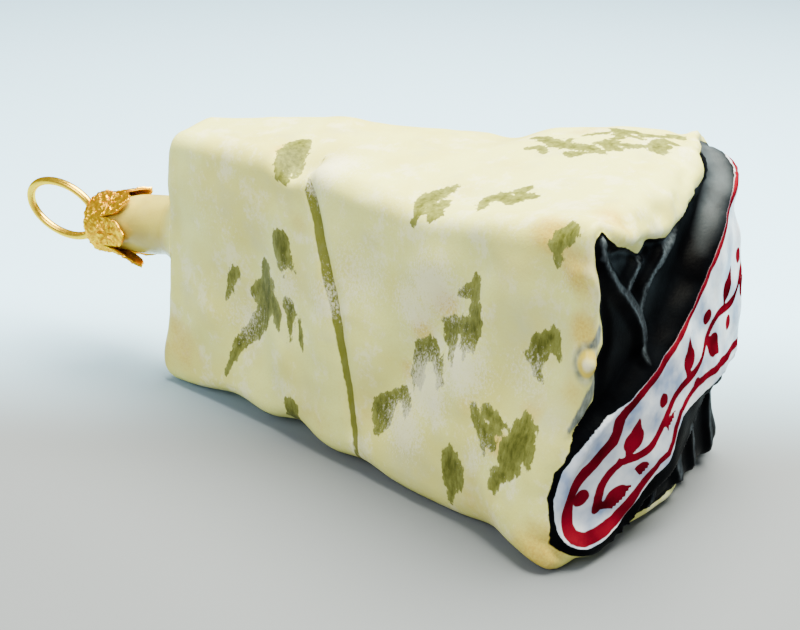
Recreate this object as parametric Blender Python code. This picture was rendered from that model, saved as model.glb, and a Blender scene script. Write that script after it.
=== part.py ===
"""A blown-glass tree ornament shaped as a wedge of blue cheese, with its metal crown cap and wire hanger.

The wedge lies on its flat underside with the thin end and the neck towards -X, the rind towards +X and
its painted cut face towards -Y. The origin is the middle of the underside. Sizes below are millimetres.
"""

import math

import bmesh
import bpy
import numpy as np

MM = 0.001

# Wedge of glass
LENGTH = 80.0
THIN_WIDTH = 9.8
RIND_WIDTH = 47.0
THIN_HEIGHT = 42.6
RIND_HEIGHT = 48.0
THIN_RADIUS = 2.4
EDGE_RADIUS = 3.8
DRAFT = 1.5  # how much wider the underside is than the top
THIN_TOE = 2.6  # how far the foot of the thin end stands out
RIND_BULGE = 2.6
RIND_TOE = 2.4  # how far the foot of the rind stands out
CORNER_CUT = 7.0  # how far its front foot is drawn back

# Paste that rolls over the rind, the dark wrapper below it and the raised band across the wrapper
LIP_DROP = 6.0
WRAPPER_INSET = 1.0
BAND = (  # Y and Z along its middle, and its half width there
    (-15.8, 8.6, 6.8),
    (-14.2, 13.4, 8.6),
    (-5.7, 18.2, 8.3),
    (1.6, 23.6, 7.4),
    (10.5, 26.8, 10.0),
    (26.0, 31.6, 13.8),
)
BAND_RISE = (1.2, 3.0)  # above the paste, at its round end and at the back

# Seam that runs down the cut face, from the notch in its top edge
SEAM_TOP = (-10.7, 43.0)  # X and Z
SEAM_FOOT = (1.9, 2.0)
SEAM_BOW = 1.6
SEAM_WIDTH = 1.0
SEAM_DEPTH = 0.8

# Neck of the ornament, which leaves the thin end, dips a little and narrows inside the cap
NECK_RADIUS = 4.85
NECK_TIP_RADIUS = 4.3
NECK_HEIGHT = 25.0
NECK_LENGTH = 14.2
NECK_DIP = 9.0
NECK_FILLET = 3.4

# Crown cap: a cup of sheet metal with six pointed leaves that grip the neck
GAP = 0.3
SHEET = 0.4
CAP_RADIUS = NECK_TIP_RADIUS + GAP + SHEET
CUP_TOP = -1.2  # the cup's flat top, along the neck from its tip
CUP_DEPTH = 3.4
LEAVES = 6
LEAF_LENGTH = 6.6
LEAF_LIFT = 0.7
LEAF_FLARES = (0.2, 0.3, 1.6, 1.1, 0.4, 0.3)
LEAF_TURN = 35.0

# Wire hanger: an oval loop whose two legs run together into the top of the cap
WIRE_RADIUS = 0.45
LOOP_LENGTH = 13.9
LOOP_WIDTH = 9.9
LOOP_REACH = 7.9  # from the cap's top to the loop's middle
LOOP_LEAN = 15.0
LOOP_TURN = 12.0
LEG_ANGLE = 34.0
LEG_SPREAD = 0.9

# Cells of the meshes
SIDE_CELLS = 16
TOP_CELLS = 11
EDGE_CELLS = 2
LENGTH_CELLS = 30
THIN_CELLS = 4
NECK_CELLS = 6
CAP_TURNS = 12 * LEAVES
LEAF_CELLS = 3
LOOP_CELLS = 36
WIRE_SIDES = 8

# Soft swellings of the faces: centre, radii and height, in the two directions along the face
TOP_SWELLS = (
    (25.5, 14.0, 14.0, 11.0, 1.9),
    (34.0, 20.0, 7.0, 7.0, 0.3),
    (10.0, 16.0, 4.0, 8.0, -1.3),
    (12.5, -15.0, 17.0, 10.0, -2.8),
    (-13.0, -9.0, 3.4, 4.2, -3.0),
    (-16.0, 7.0, 7.0, 7.0, 1.1),
    (-25.0, 5.0, 7.0, 8.0, 0.5),
)
FRONT_SWELLS = (
    (-21.5, 15.0, 9.0, 9.0, -1.7),
    (-10.5, 30.0, 4.0, 14.0, -0.7),
    (-0.5, 26.0, 3.4, 17.0, 0.5),
    (-33.5, 35.0, 7.0, 6.0, 0.5),
    (32.5, 30.0, 5.0, 9.0, 0.6),
    (36.0, 0.0, 6.5, 6.0, 2.6),
)
RIND_SWELLS = (
    (-20.0, 0.0, 7.0, 4.0, 4.2),
    (4.0, 0.0, 14.0, 5.0, 2.4),
    (22.0, 3.0, 5.0, 4.0, 1.2),
    (23.0, 49.0, 8.0, 7.0, -1.7),
    (23.0, 39.0, 8.0, 2.6, -1.4),
    (22.0, 26.0, 7.0, 6.0, 0.9),
)

# Long shallow hollow on the cut face, and X, width and height of the arches along its foot
HOLLOW_TOP = (22.0, 35.0)
HOLLOW_FOOT = (6.0, 10.0)
HOLLOW_WIDTH = 3.4
HOLLOW_DEPTH = 1.2
ARCHES = ((-25.5, 7.0, 2.3), (-12.0, 5.0, 3.2), (1.5, 5.0, 1.5), (25.5, 4.0, 0.9))


def swell(u, v, centre_u, centre_v, radius_u, radius_v, height):
    return height * np.exp(-(((u - centre_u) / radius_u) ** 2) - ((v - centre_v) / radius_v) ** 2)


def smooth_step(x, start, end):
    t = np.clip((x - start) / (end - start), 0.0, 1.0)
    return t * t * (3.0 - 2.0 * t)


def distance_to_line(u, v, start, end):
    """Distance from the points (u, v) to the straight stretch from start to end."""
    du, dv = end[0] - start[0], end[1] - start[1]
    t = np.clip(((u - start[0]) * du + (v - start[1]) * dv) / (du * du + dv * dv), 0.0, 1.0)
    return np.hypot(u - start[0] - t * du, v - start[1] - t * dv)


def half_width(x):
    return 0.5 * (THIN_WIDTH + (RIND_WIDTH - THIN_WIDTH) * (x + LENGTH / 2) / LENGTH)


def seam_x(z):
    """Where the seam crosses the cut face at a height."""
    t = (SEAM_TOP[1] - z) / (SEAM_TOP[1] - SEAM_FOOT[1])
    return SEAM_TOP[0] + (SEAM_FOOT[0] - SEAM_TOP[0]) * t + SEAM_BOW * np.sin(math.pi * np.clip(t, 0.0, 1.0))


def edge_radius(x):
    return THIN_RADIUS + (EDGE_RADIUS - THIN_RADIUS) * (x + LENGTH / 2) / LENGTH


def spread(low, high, radius, cells):
    """Positions across a face: short steps within a radius of either end, even steps between."""
    edge = np.linspace(0.0, radius, EDGE_CELLS + 1)[:-1]
    middle = np.linspace(low + radius, high - radius, cells + 1)
    return np.concatenate([low + edge, middle, high - edge[::-1]])


def section(x):
    """The sharp outline of the wedge at x, once round from the foot of the cut face."""
    width, radius = half_width(x), edge_radius(x)
    ys = spread(-width, width, radius, TOP_CELLS)
    zs = spread(0.0, THIN_HEIGHT, radius, SIDE_CELLS)
    sides = (
        [(x, -width, z) for z in zs[:-1]],
        [(x, y, THIN_HEIGHT) for y in ys[:-1]],
        [(x, width, z) for z in zs[:0:-1]],
        [(x, y, 0.0) for y in ys[:0:-1]],
    )
    return np.array([point for side in sides for point in side])


def rounded(points):
    """Sharp wedge points moved onto round edges, along the wedge and about its rind end."""
    radius = edge_radius(points[:, 0])
    x = np.minimum(points[:, 0], LENGTH / 2 - EDGE_RADIUS)
    flat = half_width(points[:, 0]) - radius
    y = np.clip(points[:, 1], -flat, flat)
    z = np.clip(points[:, 2], radius, THIN_HEIGHT - radius)
    inner = np.stack([x, y, z], axis=1)
    out = points - inner
    return inner + out * (radius / np.linalg.norm(out, axis=1))[:, None]


def neck_circle():
    """The neck's round as Y and Z, point for point with section(): seven ninths of it faces the sides."""
    angles = []
    for middle, half_span, cells in (
        (0, 70, SIDE_CELLS),
        (90, 20, TOP_CELLS),
        (180, 70, SIDE_CELLS),
        (270, 20, TOP_CELLS),
    ):
        steps = cells + 2 * EDGE_CELLS
        angles += [middle + half_span * (2 * k / steps - 1) for k in range(steps)]
    angles = np.radians(angles)
    return NECK_RADIUS * np.stack([-np.cos(angles), np.sin(angles)], axis=1)


def thin_end_rings(outline):
    """Rings from the wedge's section in to the neck: round edge, flat end, then the fillet."""
    start = -LENGTH / 2 + THIN_RADIUS
    across = neck_circle() + (0.0, NECK_HEIGHT) - outline[:, 1:]
    reach = np.linalg.norm(across, axis=1)
    edge = np.minimum(THIN_RADIUS, reach / 2)
    fillet = np.minimum(NECK_FILLET, reach / 2)
    along = across / reach[:, None]
    moves = []
    for k in range(1, THIN_CELLS + 1):
        turn = math.pi / 2 * k / THIN_CELLS
        moves.append((start - THIN_RADIUS * math.sin(turn), edge * (1 - math.cos(turn))))
    for k in range(1, THIN_CELLS + 1):
        moves.append((-LENGTH / 2, edge + (reach - edge - fillet) * k / THIN_CELLS))
    for k in range(1, THIN_CELLS + 1):
        turn = math.pi / 2 * k / THIN_CELLS
        x = -LENGTH / 2 - NECK_FILLET * (1 - math.cos(turn))
        moves.append((x, reach - fillet * (1 - math.sin(turn))))
    rings = []
    for x, inward in moves:
        ring = outline.copy()
        ring[:, 0] = x
        ring[:, 1:] += along * inward[:, None]
        rings.append(ring)
    return rings


def on_neck(along, y, up, tilt=NECK_DIP):
    """A point by its distance from the neck's root towards its tip, on a plane that leans by tilt."""
    dip, lean = math.radians(NECK_DIP), math.radians(tilt)
    x = -LENGTH / 2 - NECK_FILLET - along * math.cos(dip) - up * math.sin(lean)
    return np.array([x, y, NECK_HEIGHT - along * math.sin(dip) + up * math.cos(lean)])


def neck_rings():
    rings = []
    for k in range(1, NECK_CELLS + 1):
        tilt = NECK_DIP * min(1.0, k / 2)
        along = NECK_LENGTH * k / NECK_CELLS
        taper = smooth_step(along, 0.35 * NECK_LENGTH, 0.75 * NECK_LENGTH)
        size = 1.0 + (NECK_TIP_RADIUS / NECK_RADIUS - 1.0) * taper
        rings.append(np.array([on_neck(along, y, z, tilt) for y, z in size * neck_circle()]))
    return rings


def warped(points):
    """The even wedge given its rise, draft, bulging rind and uneven hand-made faces."""
    x, y, z = points.T.copy()
    along = np.clip((x + LENGTH / 2) / LENGTH, 0.0, 1.0)
    up = z / THIN_HEIGHT
    body = smooth_step(x, -LENGTH / 2 - NECK_FILLET, -LENGTH / 2 + THIN_RADIUS)
    width = half_width(np.maximum(x, -LENGTH / 2))
    front = smooth_step(-y / width, 0.2, 0.95) * body

    relief = sum(swell(x, z, *each) for each in FRONT_SWELLS)
    hollow = distance_to_line(x, z, HOLLOW_TOP, HOLLOW_FOOT)
    relief = relief - HOLLOW_DEPTH * np.exp(-((hollow / HOLLOW_WIDTH) ** 2))
    from_seam = np.abs(x - seam_x(z)) / SEAM_WIDTH
    relief = relief - SEAM_DEPTH * np.exp(-(from_seam**2)) * smooth_step(z, 0.0, 6.0)
    new_y = y - front * relief + (0.5 - up) * DRAFT * body * y / width * along

    top = sum(swell(x, y, *each) for each in TOP_SWELLS) + 0.5 * y / width
    new_z = z + up * (RIND_HEIGHT - THIN_HEIGHT) * along + body * up**3 * top
    arch = sum(height * np.exp(-(((x - middle) / radius) ** 2)) for middle, radius, height in ARCHES)
    near_front = np.exp(-(((y + width) / 4.5) ** 2))
    new_z = new_z + body * (1.0 - np.clip(up, 0.0, 1.0)) ** 4 * near_front * arch

    near_thin_end = body * (1.0 - smooth_step(x, -LENGTH / 2, -LENGTH / 2 + 10.0))
    toe = THIN_TOE * np.exp(-(((z - 4.0) / 6.0) ** 2)) * near_thin_end
    return np.stack([x - toe + rind_shape(y, z, along), new_y, new_z], axis=1)


def band_edge(y, z):
    """Distance outwards from the edge of the band."""
    edges = []
    for (start_y, start_z, start_half), (end_y, end_z, end_half) in zip(BAND, BAND[1:]):
        run_y, run_z = end_y - start_y, end_z - start_z
        share = ((y - start_y) * run_y + (z - start_z) * run_z) / (run_y**2 + run_z**2)
        share = np.clip(share, 0.0, 1.0)
        away = np.hypot(y - start_y - share * run_y, z - start_z - share * run_z)
        edges.append(away - start_half - share * (end_half - start_half))
    return np.min(edges, axis=0)


def rind_shape(y, z, along):
    """How far the rind end stands out along X: a slanting bulge, the wrapper, the lip and the band."""
    z = z * RIND_HEIGHT / THIN_HEIGHT
    across = 2.0 * y / RIND_WIDTH
    foot = 1.0 - smooth_step(z, 5.0, 29.0)
    slant = foot * (RIND_TOE - CORNER_CUT * smooth_step(-across, 0.15, 1.05))
    slant = slant + sum(swell(y, z, *each) for each in RIND_SWELLS)
    bulge = RIND_BULGE * (1.0 - across**2) * np.sin(math.pi * np.clip(z / RIND_HEIGHT, 0.0, 1.0))
    lip_edge = RIND_HEIGHT - LIP_DROP + 0.012 * y * y + 0.08 * y + 0.9 * np.sin(0.42 * y)
    wrapper = (1.0 - smooth_step(z, lip_edge - 0.8, lip_edge + 0.8)) * smooth_step(across, -0.96, -0.86)
    band = 1.0 - smooth_step(band_edge(y, z), -1.3, 1.3)
    rise = BAND_RISE[0] + (BAND_RISE[1] - BAND_RISE[0]) * smooth_step(across, -1.0, 1.0)
    relief = (WRAPPER_INSET + rise) * band - WRAPPER_INSET * wrapper
    end = smooth_step(along, 0.93, 1.0)
    return slant * along**2 + (bulge + relief) * end


def stations():
    """Where the sections stand along X, with three of them on the seam."""
    first = -LENGTH / 2 + THIN_RADIUS
    last = LENGTH / 2 - EDGE_RADIUS
    middle = (SEAM_TOP[0] + SEAM_FOOT[0]) / 2 + SEAM_BOW
    before = round(LENGTH_CELLS * (middle - first) / (last - first))
    edge = [last + EDGE_RADIUS * k / EDGE_CELLS for k in range(1, EDGE_CELLS + 1)]
    left = np.linspace(first, middle - 1.3 * SEAM_WIDTH, before)
    right = np.linspace(middle + 1.3 * SEAM_WIDTH, last, LENGTH_CELLS - before)
    return [*left, middle, *right, *edge]


def along_seam(ring):
    """A section of the sharp wedge sheared so that sections near the seam lie along it."""
    middle = (SEAM_TOP[0] + SEAM_FOOT[0]) / 2 + SEAM_BOW
    x, z = ring[:, 0], ring[:, 2]
    near = np.exp(-(((x - middle) / 16.0) ** 2))
    ring[:, 0] = x + near * (seam_x(z) - middle)
    return ring


def rind_grid():
    """Points inside the rind face, row by row, between the four sides of the last section."""
    width = half_width(LENGTH / 2)
    ys = spread(-width, width, EDGE_RADIUS, TOP_CELLS)[1:-1]
    zs = spread(0.0, THIN_HEIGHT, EDGE_RADIUS, SIDE_CELLS)[1:-1]
    return np.array([(LENGTH / 2, y, z) for z in zs for y in ys]), len(ys), len(zs)


def add_rings(mesh, rings):
    return [[mesh.verts.new(point * MM) for point in ring] for ring in rings]


def join_rings(mesh, rings):
    for first, second in zip(rings, rings[1:]):
        for k in range(len(first)):
            nearby = (k + 1) % len(first)
            mesh.faces.new((first[k], first[nearby], second[nearby], second[k]))


def finish(name, mesh, material, sharp_angle=None):
    bmesh.ops.recalc_face_normals(mesh, faces=mesh.faces)
    data = bpy.data.meshes.new(name)
    mesh.to_mesh(data)
    mesh.free()
    data.shade_smooth()
    if sharp_angle:
        data.set_sharp_from_angle(angle=math.radians(sharp_angle))
    data.materials.append(material)
    piece = bpy.data.objects.new(name, data)
    bpy.context.scene.collection.objects.link(piece)
    return piece


def make_material(name, colour, roughness, metallic=0.0):
    material = bpy.data.materials.new(name)
    material.use_nodes = True
    shader = material.node_tree.nodes["Principled BSDF"]
    shader.inputs["Base Color"].default_value = (*colour, 1.0)
    shader.inputs["Roughness"].default_value = roughness
    shader.inputs["Metallic"].default_value = metallic
    material.diffuse_color = (*colour, 1.0)
    return material


def make_wedge():
    """The glass: neck, wedge, rolled lip, wrapper and band are one blown piece."""
    mesh = bmesh.new()
    sharp = [along_seam(section(x)) for x in stations()]
    outlines = [rounded(ring) for ring in sharp]
    toward_neck = thin_end_rings(outlines[0])
    rings = [*neck_rings()[::-1], *[warped(ring) for ring in [*toward_neck[::-1], *outlines]]]
    rings = add_rings(mesh, rings)
    join_rings(mesh, rings)

    tip = mesh.verts.new(sum((vert.co for vert in rings[0]), start=rings[0][0].co * 0) / len(rings[0]))
    for k in range(len(rings[0])):
        mesh.faces.new((rings[0][k], tip, rings[0][(k + 1) % len(rings[0])]))

    points, columns, rows = rind_grid()
    inside = [mesh.verts.new(point * MM) for point in warped(rounded(points))]
    last = rings[-1]
    high, wide = rows + 1, columns + 1
    lines = [[last[-k % len(last)] for k in range(wide + 1)]]
    for row in range(rows):
        left, right = last[row + 1], last[2 * high + wide - row - 1]
        lines.append([left, *inside[row * columns : (row + 1) * columns], right])
    lines.append([last[high + k] for k in range(wide + 1)])
    for below, above in zip(lines, lines[1:]):
        for k in range(wide):
            mesh.faces.new((below[k], below[k + 1], above[k + 1], above[k]))
    return finish("glass_wedge", mesh, make_material("painted glass", (0.80, 0.78, 0.58), 0.35))


def leaf_shape(angle):
    """Length of the leaf at this angle, broad with a point at its end, and how far its tip bends out."""
    turns = (angle - LEAF_TURN) * LEAVES / 360.0
    across = abs((turns + 0.5) % 1.0 - 0.5) * 2.0
    shape = 0.62 * (1.0 - across**4) + 0.38 * (1.0 - across)
    return LEAF_LENGTH * shape, LEAF_LIFT + LEAF_FLARES[math.floor(turns + 0.5) % LEAVES]


def cap_skin(thickness):
    """Rings of (distance from the neck's tip, radius, angle) down one face of the sheet, top to leaf tips."""
    angles = [360.0 * k / CAP_TURNS for k in range(CAP_TURNS)]
    radius, top = CAP_RADIUS - thickness, CUP_TOP + thickness
    shoulder = min(1.0, radius / CAP_RADIUS)
    rings = []
    for share, drop in ((0.42, 0.0), (0.76, 0.15), (0.93, 0.5), (1.0, 1.1), (1.0, CUP_DEPTH)):
        rings.append([(top + drop * shoulder, share * radius, angle) for angle in angles])
    for step in range(1, LEAF_CELLS + 1):
        ring = []
        for angle in angles:
            length, flare = leaf_shape(angle)
            reach = length * step / LEAF_CELLS
            lift = flare * (reach / LEAF_LENGTH) ** 1.3
            ring.append((CUP_TOP + CUP_DEPTH + reach, radius + lift, angle))
        rings.append(ring)
    return (top, 0.0, 0.0), rings


def make_cap():
    """Cup and leaves as one sheet of metal: an outer and an inner skin joined round the rim."""
    mesh = bmesh.new()

    def vert(x, radius, angle):
        a = math.radians(angle)
        return mesh.verts.new(on_neck(NECK_LENGTH - x, -radius * math.sin(a), radius * math.cos(a)) * MM)

    rims = []
    for thickness in (0.0, SHEET):
        middle, rings = cap_skin(thickness)
        middle = vert(*middle)
        rings = [[vert(*point) for point in ring] for ring in rings]
        join_rings(mesh, rings)
        for k in range(CAP_TURNS):
            mesh.faces.new((rings[0][k], rings[0][(k + 1) % CAP_TURNS], middle))
        rims.append(rings[-1])
    join_rings(mesh, rims)
    return finish("crown_cap", mesh, make_material("gilded brass", (0.86, 0.56, 0.18), 0.3, 1.0), 40)


def loop_spine():
    """Points of the wire in the loop's plane, along the neck's axis and across it: leg, oval and leg."""
    leg, lean = math.radians(LEG_ANGLE), math.radians(LOOP_LEAN)
    turns = np.linspace(leg, 2 * math.pi - leg, LOOP_CELLS + 1)
    along = LOOP_LENGTH / 2 * np.cos(turns) - LOOP_REACH
    across = LOOP_WIDTH / 2 * np.sin(turns)
    xs = CUP_TOP + along * math.cos(lean) + across * math.sin(lean)
    ys = across * math.cos(lean) - along * math.sin(lean)
    end = CUP_TOP - GAP - WIRE_RADIUS
    return np.array([(end, LEG_SPREAD), *zip(xs, ys), (end, -LEG_SPREAD)])


def make_loop():
    """The hanger: wire of round section that stands on the cap's top."""
    mesh = bmesh.new()
    spine = loop_spine()
    turn = math.radians(LOOP_TURN)
    rings = []
    for (x, across), (dx, dy) in zip(spine, np.gradient(spine, axis=0)):
        size = math.hypot(dx, dy)
        ring = []
        for k in range(WIRE_SIDES):
            a = 2 * math.pi * k / WIRE_SIDES
            side, out = WIRE_RADIUS * math.cos(a), WIRE_RADIUS * math.sin(a)
            along, sideways = x - side * dy / size, across + side * dx / size
            y = -sideways * math.sin(turn) + out * math.cos(turn)
            ring.append(on_neck(NECK_LENGTH - along, y, sideways * math.cos(turn) + out * math.sin(turn)))
        rings.append(ring)
    rings = add_rings(mesh, rings)
    join_rings(mesh, rings)
    mesh.faces.new(rings[0])
    mesh.faces.new(rings[-1])
    return finish("wire_loop", mesh, make_material("brass wire", (0.80, 0.58, 0.24), 0.25, 1.0), 60)


def main():
    for old in list(bpy.data.objects):
        bpy.data.objects.remove(old)
    make_wedge()
    make_cap()
    make_loop()


main()
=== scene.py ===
import math

import bpy
import numpy as np
from mathutils import Matrix, Vector, noise


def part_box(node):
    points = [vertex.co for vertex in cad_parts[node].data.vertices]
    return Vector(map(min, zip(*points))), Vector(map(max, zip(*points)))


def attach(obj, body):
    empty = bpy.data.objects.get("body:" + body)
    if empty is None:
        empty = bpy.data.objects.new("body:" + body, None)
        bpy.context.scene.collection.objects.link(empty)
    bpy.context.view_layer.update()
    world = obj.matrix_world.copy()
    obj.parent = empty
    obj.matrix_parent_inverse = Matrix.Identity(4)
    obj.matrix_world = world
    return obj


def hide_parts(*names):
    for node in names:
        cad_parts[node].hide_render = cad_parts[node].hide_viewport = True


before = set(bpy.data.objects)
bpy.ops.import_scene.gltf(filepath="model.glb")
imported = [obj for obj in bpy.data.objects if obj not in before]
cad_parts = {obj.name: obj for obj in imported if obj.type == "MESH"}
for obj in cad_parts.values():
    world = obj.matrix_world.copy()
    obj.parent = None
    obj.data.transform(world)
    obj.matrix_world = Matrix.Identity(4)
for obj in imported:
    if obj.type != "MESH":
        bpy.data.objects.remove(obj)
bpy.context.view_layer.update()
mm = 0.001

# settings that many nodes share
smooth = {"interpolation_type": "SMOOTHSTEP"}
colourMix = {"data_type": "RGBA"}
plainMix = {"data_type": "FLOAT"}
times = {"operation": "MULTIPLY"}
timesPlus = {"operation": "MULTIPLY_ADD"}


def linearColour(hexText):
    values = [int(hexText[k : k + 2], 16) / 255 for k in (1, 3, 5)]
    return tuple(v / 12.92 if v <= 0.04045 else ((v + 0.055) / 1.055) ** 2.4 for v in values) + (1.0,)


def addNode(tree, kind, settings=None, **links):
    # settings go to the node's own properties, links to its inputs by name or by number as in1, a list to one
    # input that takes several; what comes back is the node's outputs
    node = tree.nodes.new(kind)
    for name, value in (settings or {}).items():
        setattr(node, name, value)
    for name, value in links.items():
        numbered = name[:2] == "in" and name[2:].isdigit()
        socket = node.inputs[int(name[2:]) if numbered else name.replace("_", " ")]
        for source in value if isinstance(value, list) else [value]:
            if hasattr(source, "links"):
                tree.links.new(source, socket)
            else:
                socket.default_value = source
    return node.outputs


def smoothStep(x, start, end):
    t = np.clip((x - start) / (end - start), 0.0, 1.0)
    return t * t * (3.0 - 2.0 * t)


def swell(u, v, centreU, centreV, radiusU, radiusV, height):
    return height * np.exp(-(((u - centreU) / radiusU) ** 2) - ((v - centreV) / radiusV) ** 2)


def lineDistance(u, v, start, end):
    du, dv = end[0] - start[0], end[1] - start[1]
    t = np.clip(((u - start[0]) * du + (v - start[1]) * dv) / (du * du + dv * dv), 0.0, 1.0)
    return np.hypot(u - start[0] - t * du, v - start[1] - t * dv), t


def strokeDistance(u, v, strokes):
    # distance outwards from brush strokes, each a run of (u, v, half width)
    best = np.full(len(u), 99.0)
    for stroke in strokes:
        for a, b in zip(stroke, stroke[1:]):
            away, t = lineDistance(u, v, a, b)
            best = np.minimum(best, away - a[2] - t * (b[2] - a[2]))
    return best


def loopDistance(u, v, loop):
    # distance outwards from a closed loop of (u, v), negative inside it
    best, inside = np.full(len(u), 99.0), np.zeros(len(u), bool)
    for a, b in zip(loop, loop[1:] + loop[:1]):
        best = np.minimum(best, lineDistance(u, v, a, b)[0])
        if a[1] != b[1]:
            crossing = a[0] + (v - a[1]) * (b[0] - a[0]) / (b[1] - a[1])
            inside ^= ((a[1] > v) != (b[1] > v)) & (u < crossing)
    return np.where(inside, -best, best)


def grain(points, size, seed):
    # smooth random numbers about 0, one for each point, changing over a size in millimetres
    shift = Vector((17.3 * seed, 5.1 * seed, 31.7 * seed))
    return np.array([noise.noise(Vector(p) / size + shift) for p in points.tolist()])


# the blown wedge: one closed skin from the neck's tip over the wedge to the rind, in millimetres and degrees
wedge = {
    "length": 80.0,
    "thinWidth": 9.8,
    "rindWidth": 47.0,
    "thinHeight": 42.6,
    "rindHeight": 48.0,
    "thinRadius": 2.4,
    "edgeRadius": 3.8,
    "draft": 1.5,  # how much narrower the sides are at the top of the rind
    "topTilt": 0.5,
    "frontFrom": (0.2, 0.95),  # where the front face's relief starts and is full, as parts of the half width
    "thinToe": 2.6,  # how far the thin end's foot stands out
    "toeSpan": (4.0, 6.0, 10.0),  # the height of its middle, its radius and its reach along X
    "rindStart": 0.93,  # the part of the length at which the rind's relief starts
    "rindBulge": 2.6,
    "rindToe": 2.4,
    "rindFoot": (5.0, 29.0),  # heights over which the toe and the cut corner fade out
    "cornerCut": 7.0,
    "cornerSpan": (0.15, 1.05),  # where the cut starts and ends, as parts of the half width
    "lipDrop": 6.0,  # from the top down to the wrapper
    "lipCurve": (0.012, 0.08),
    "lipRipple": (0.9, 0.42),
    "lipSoftness": 0.6,
    "wrapperInset": 1.0,
    "insetFrom": (-0.96, -0.86),
    "seamTop": (-10.7, 43.0),
    "seamFoot": (1.9, 2.0),
    "seamBow": 1.6,
    "seamWidth": 1.0,
    "seamDepth": 0.8,
    "seamFade": 6.0,  # the height by which it is full
    "seamPull": 16.0,  # how far off it the sections still lean with it
    "neckRadius": 4.85,
    "neckTipRadius": 4.3,
    "neckHeight": 25.0,
    "neckLength": 14.2,
    "neckTaper": (0.35, 0.75),  # where along the neck it narrows
    "neckDip": 9.0,
    "neckFillet": 3.4,
    "hollow": ((22.0, 35.0), (6.0, 10.0), 3.4, 1.2),  # top, foot, width and depth
    "arches": ((-25.5, 7.0, 2.3), (-12.0, 5.0, 3.2), (1.5, 5.0, 1.5), (25.5, 4.0, 0.9)),  # X, radius, height
    "archReach": 4.5,
    "sideCells": 104,
    "topCells": 116,
    "edgeCells": 5,
    "lengthCells": 118,
    "thinCells": 8,
    "neckCells": 12,
}

# soft swellings: centre, radii and height, in the two directions along each face
topSwells = (
    (25.5, 14.0, 14.0, 11.0, 1.9),
    (34.0, 20.0, 7.0, 7.0, 0.3),
    (10.0, 16.0, 4.0, 8.0, -1.3),
    (12.5, -15.0, 17.0, 10.0, -2.8),
    (-13.0, -9.0, 3.4, 4.2, -3.0),
    (-16.0, 7.0, 7.0, 7.0, 1.1),
    (-25.0, 5.0, 7.0, 8.0, 0.5),
)
frontSwells = (
    (-21.5, 15.0, 9.0, 9.0, -1.7),
    (-10.5, 30.0, 4.0, 14.0, -0.7),
    (-0.5, 26.0, 3.4, 17.0, 0.5),
    (-33.5, 35.0, 7.0, 6.0, 0.5),
    (32.5, 30.0, 5.0, 9.0, 0.6),
    (36.0, 0.0, 6.5, 6.0, 2.6),
)
rindSwells = (
    (-20.0, 0.0, 7.0, 4.0, 4.2),
    (4.0, 0.0, 14.0, 5.0, 2.4),
    (22.0, 3.0, 5.0, 4.0, 1.2),
    (23.0, 49.0, 8.0, 7.0, -1.7),
    (23.0, 39.0, 8.0, 2.6, -1.4),
    (22.0, 26.0, 7.0, 6.0, 0.9),
)

# the raised band: Y, Z and half width along its middle, and how far it stands out at its two ends
band = {
    "middle": (
        (-15.8, 8.6, 6.8),
        (-14.2, 13.4, 8.6),
        (-5.7, 18.2, 8.3),
        (1.6, 23.6, 7.4),
        (10.5, 26.8, 10.0),
        (26.0, 31.6, 13.8),
    ),
    "rise": (1.2, 3.0),
    "shoulder": (1.1, 3.0),  # the raised edge's width below the band and above it
    "widerAcross": (2.0, 7.0),  # where across and along the band its edge grows wider
    "widerAlong": (2.0, 12.0),
}


def halfWidth(x):
    thin, rind = wedge["thinWidth"], wedge["rindWidth"]
    return 0.5 * (thin + (rind - thin) * (x / wedge["length"] + 0.5))


def edgeRadius(x):
    thin, rind = wedge["thinRadius"], wedge["edgeRadius"]
    return thin + (rind - thin) * (x / wedge["length"] + 0.5)


def seamX(z):
    top, foot = wedge["seamTop"], wedge["seamFoot"]
    t = (top[1] - z) / (top[1] - foot[1])
    return top[0] + (foot[0] - top[0]) * t + wedge["seamBow"] * np.sin(math.pi * np.clip(t, 0.0, 1.0))


def spread(low, high, radius, cells):
    # places from low to high, closer together over the rounded edges
    edge = np.linspace(0.0, radius, wedge["edgeCells"] + 1)[:-1]
    middle = np.linspace(low + radius, high - radius, cells + 1)
    return np.concatenate([low + edge, middle, high - edge[::-1]])


def sectionOutline(x):
    # the sharp wedge's outline at x, once round from the foot of the cut face
    width, radius = halfWidth(x), edgeRadius(x)
    ys = spread(-width, width, radius, wedge["topCells"])
    zs = spread(0.0, wedge["thinHeight"], radius, wedge["sideCells"])
    top = wedge["thinHeight"]
    y = np.concatenate([np.full(len(zs) - 1, -width), ys[:-1], np.full(len(zs) - 1, width), ys[:0:-1]])
    z = np.concatenate([zs[:-1], np.full(len(ys) - 1, top), zs[:0:-1], np.zeros(len(ys) - 1)])
    return np.stack([np.full(len(y), x), y, z], axis=1)


def roundedEdges(points):
    # each point drawn in to the edge radius about the nearest point of a smaller, sharp wedge
    radius = edgeRadius(points[:, 0])
    flat = halfWidth(points[:, 0]) - radius
    x = np.minimum(points[:, 0], wedge["length"] / 2 - wedge["edgeRadius"])
    y = np.clip(points[:, 1], -flat, flat)
    z = np.clip(points[:, 2], radius, wedge["thinHeight"] - radius)
    inner = np.stack([x, y, z], axis=1)
    out = points - inner
    return inner + out * (radius / np.linalg.norm(out, axis=1))[:, None]


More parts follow.
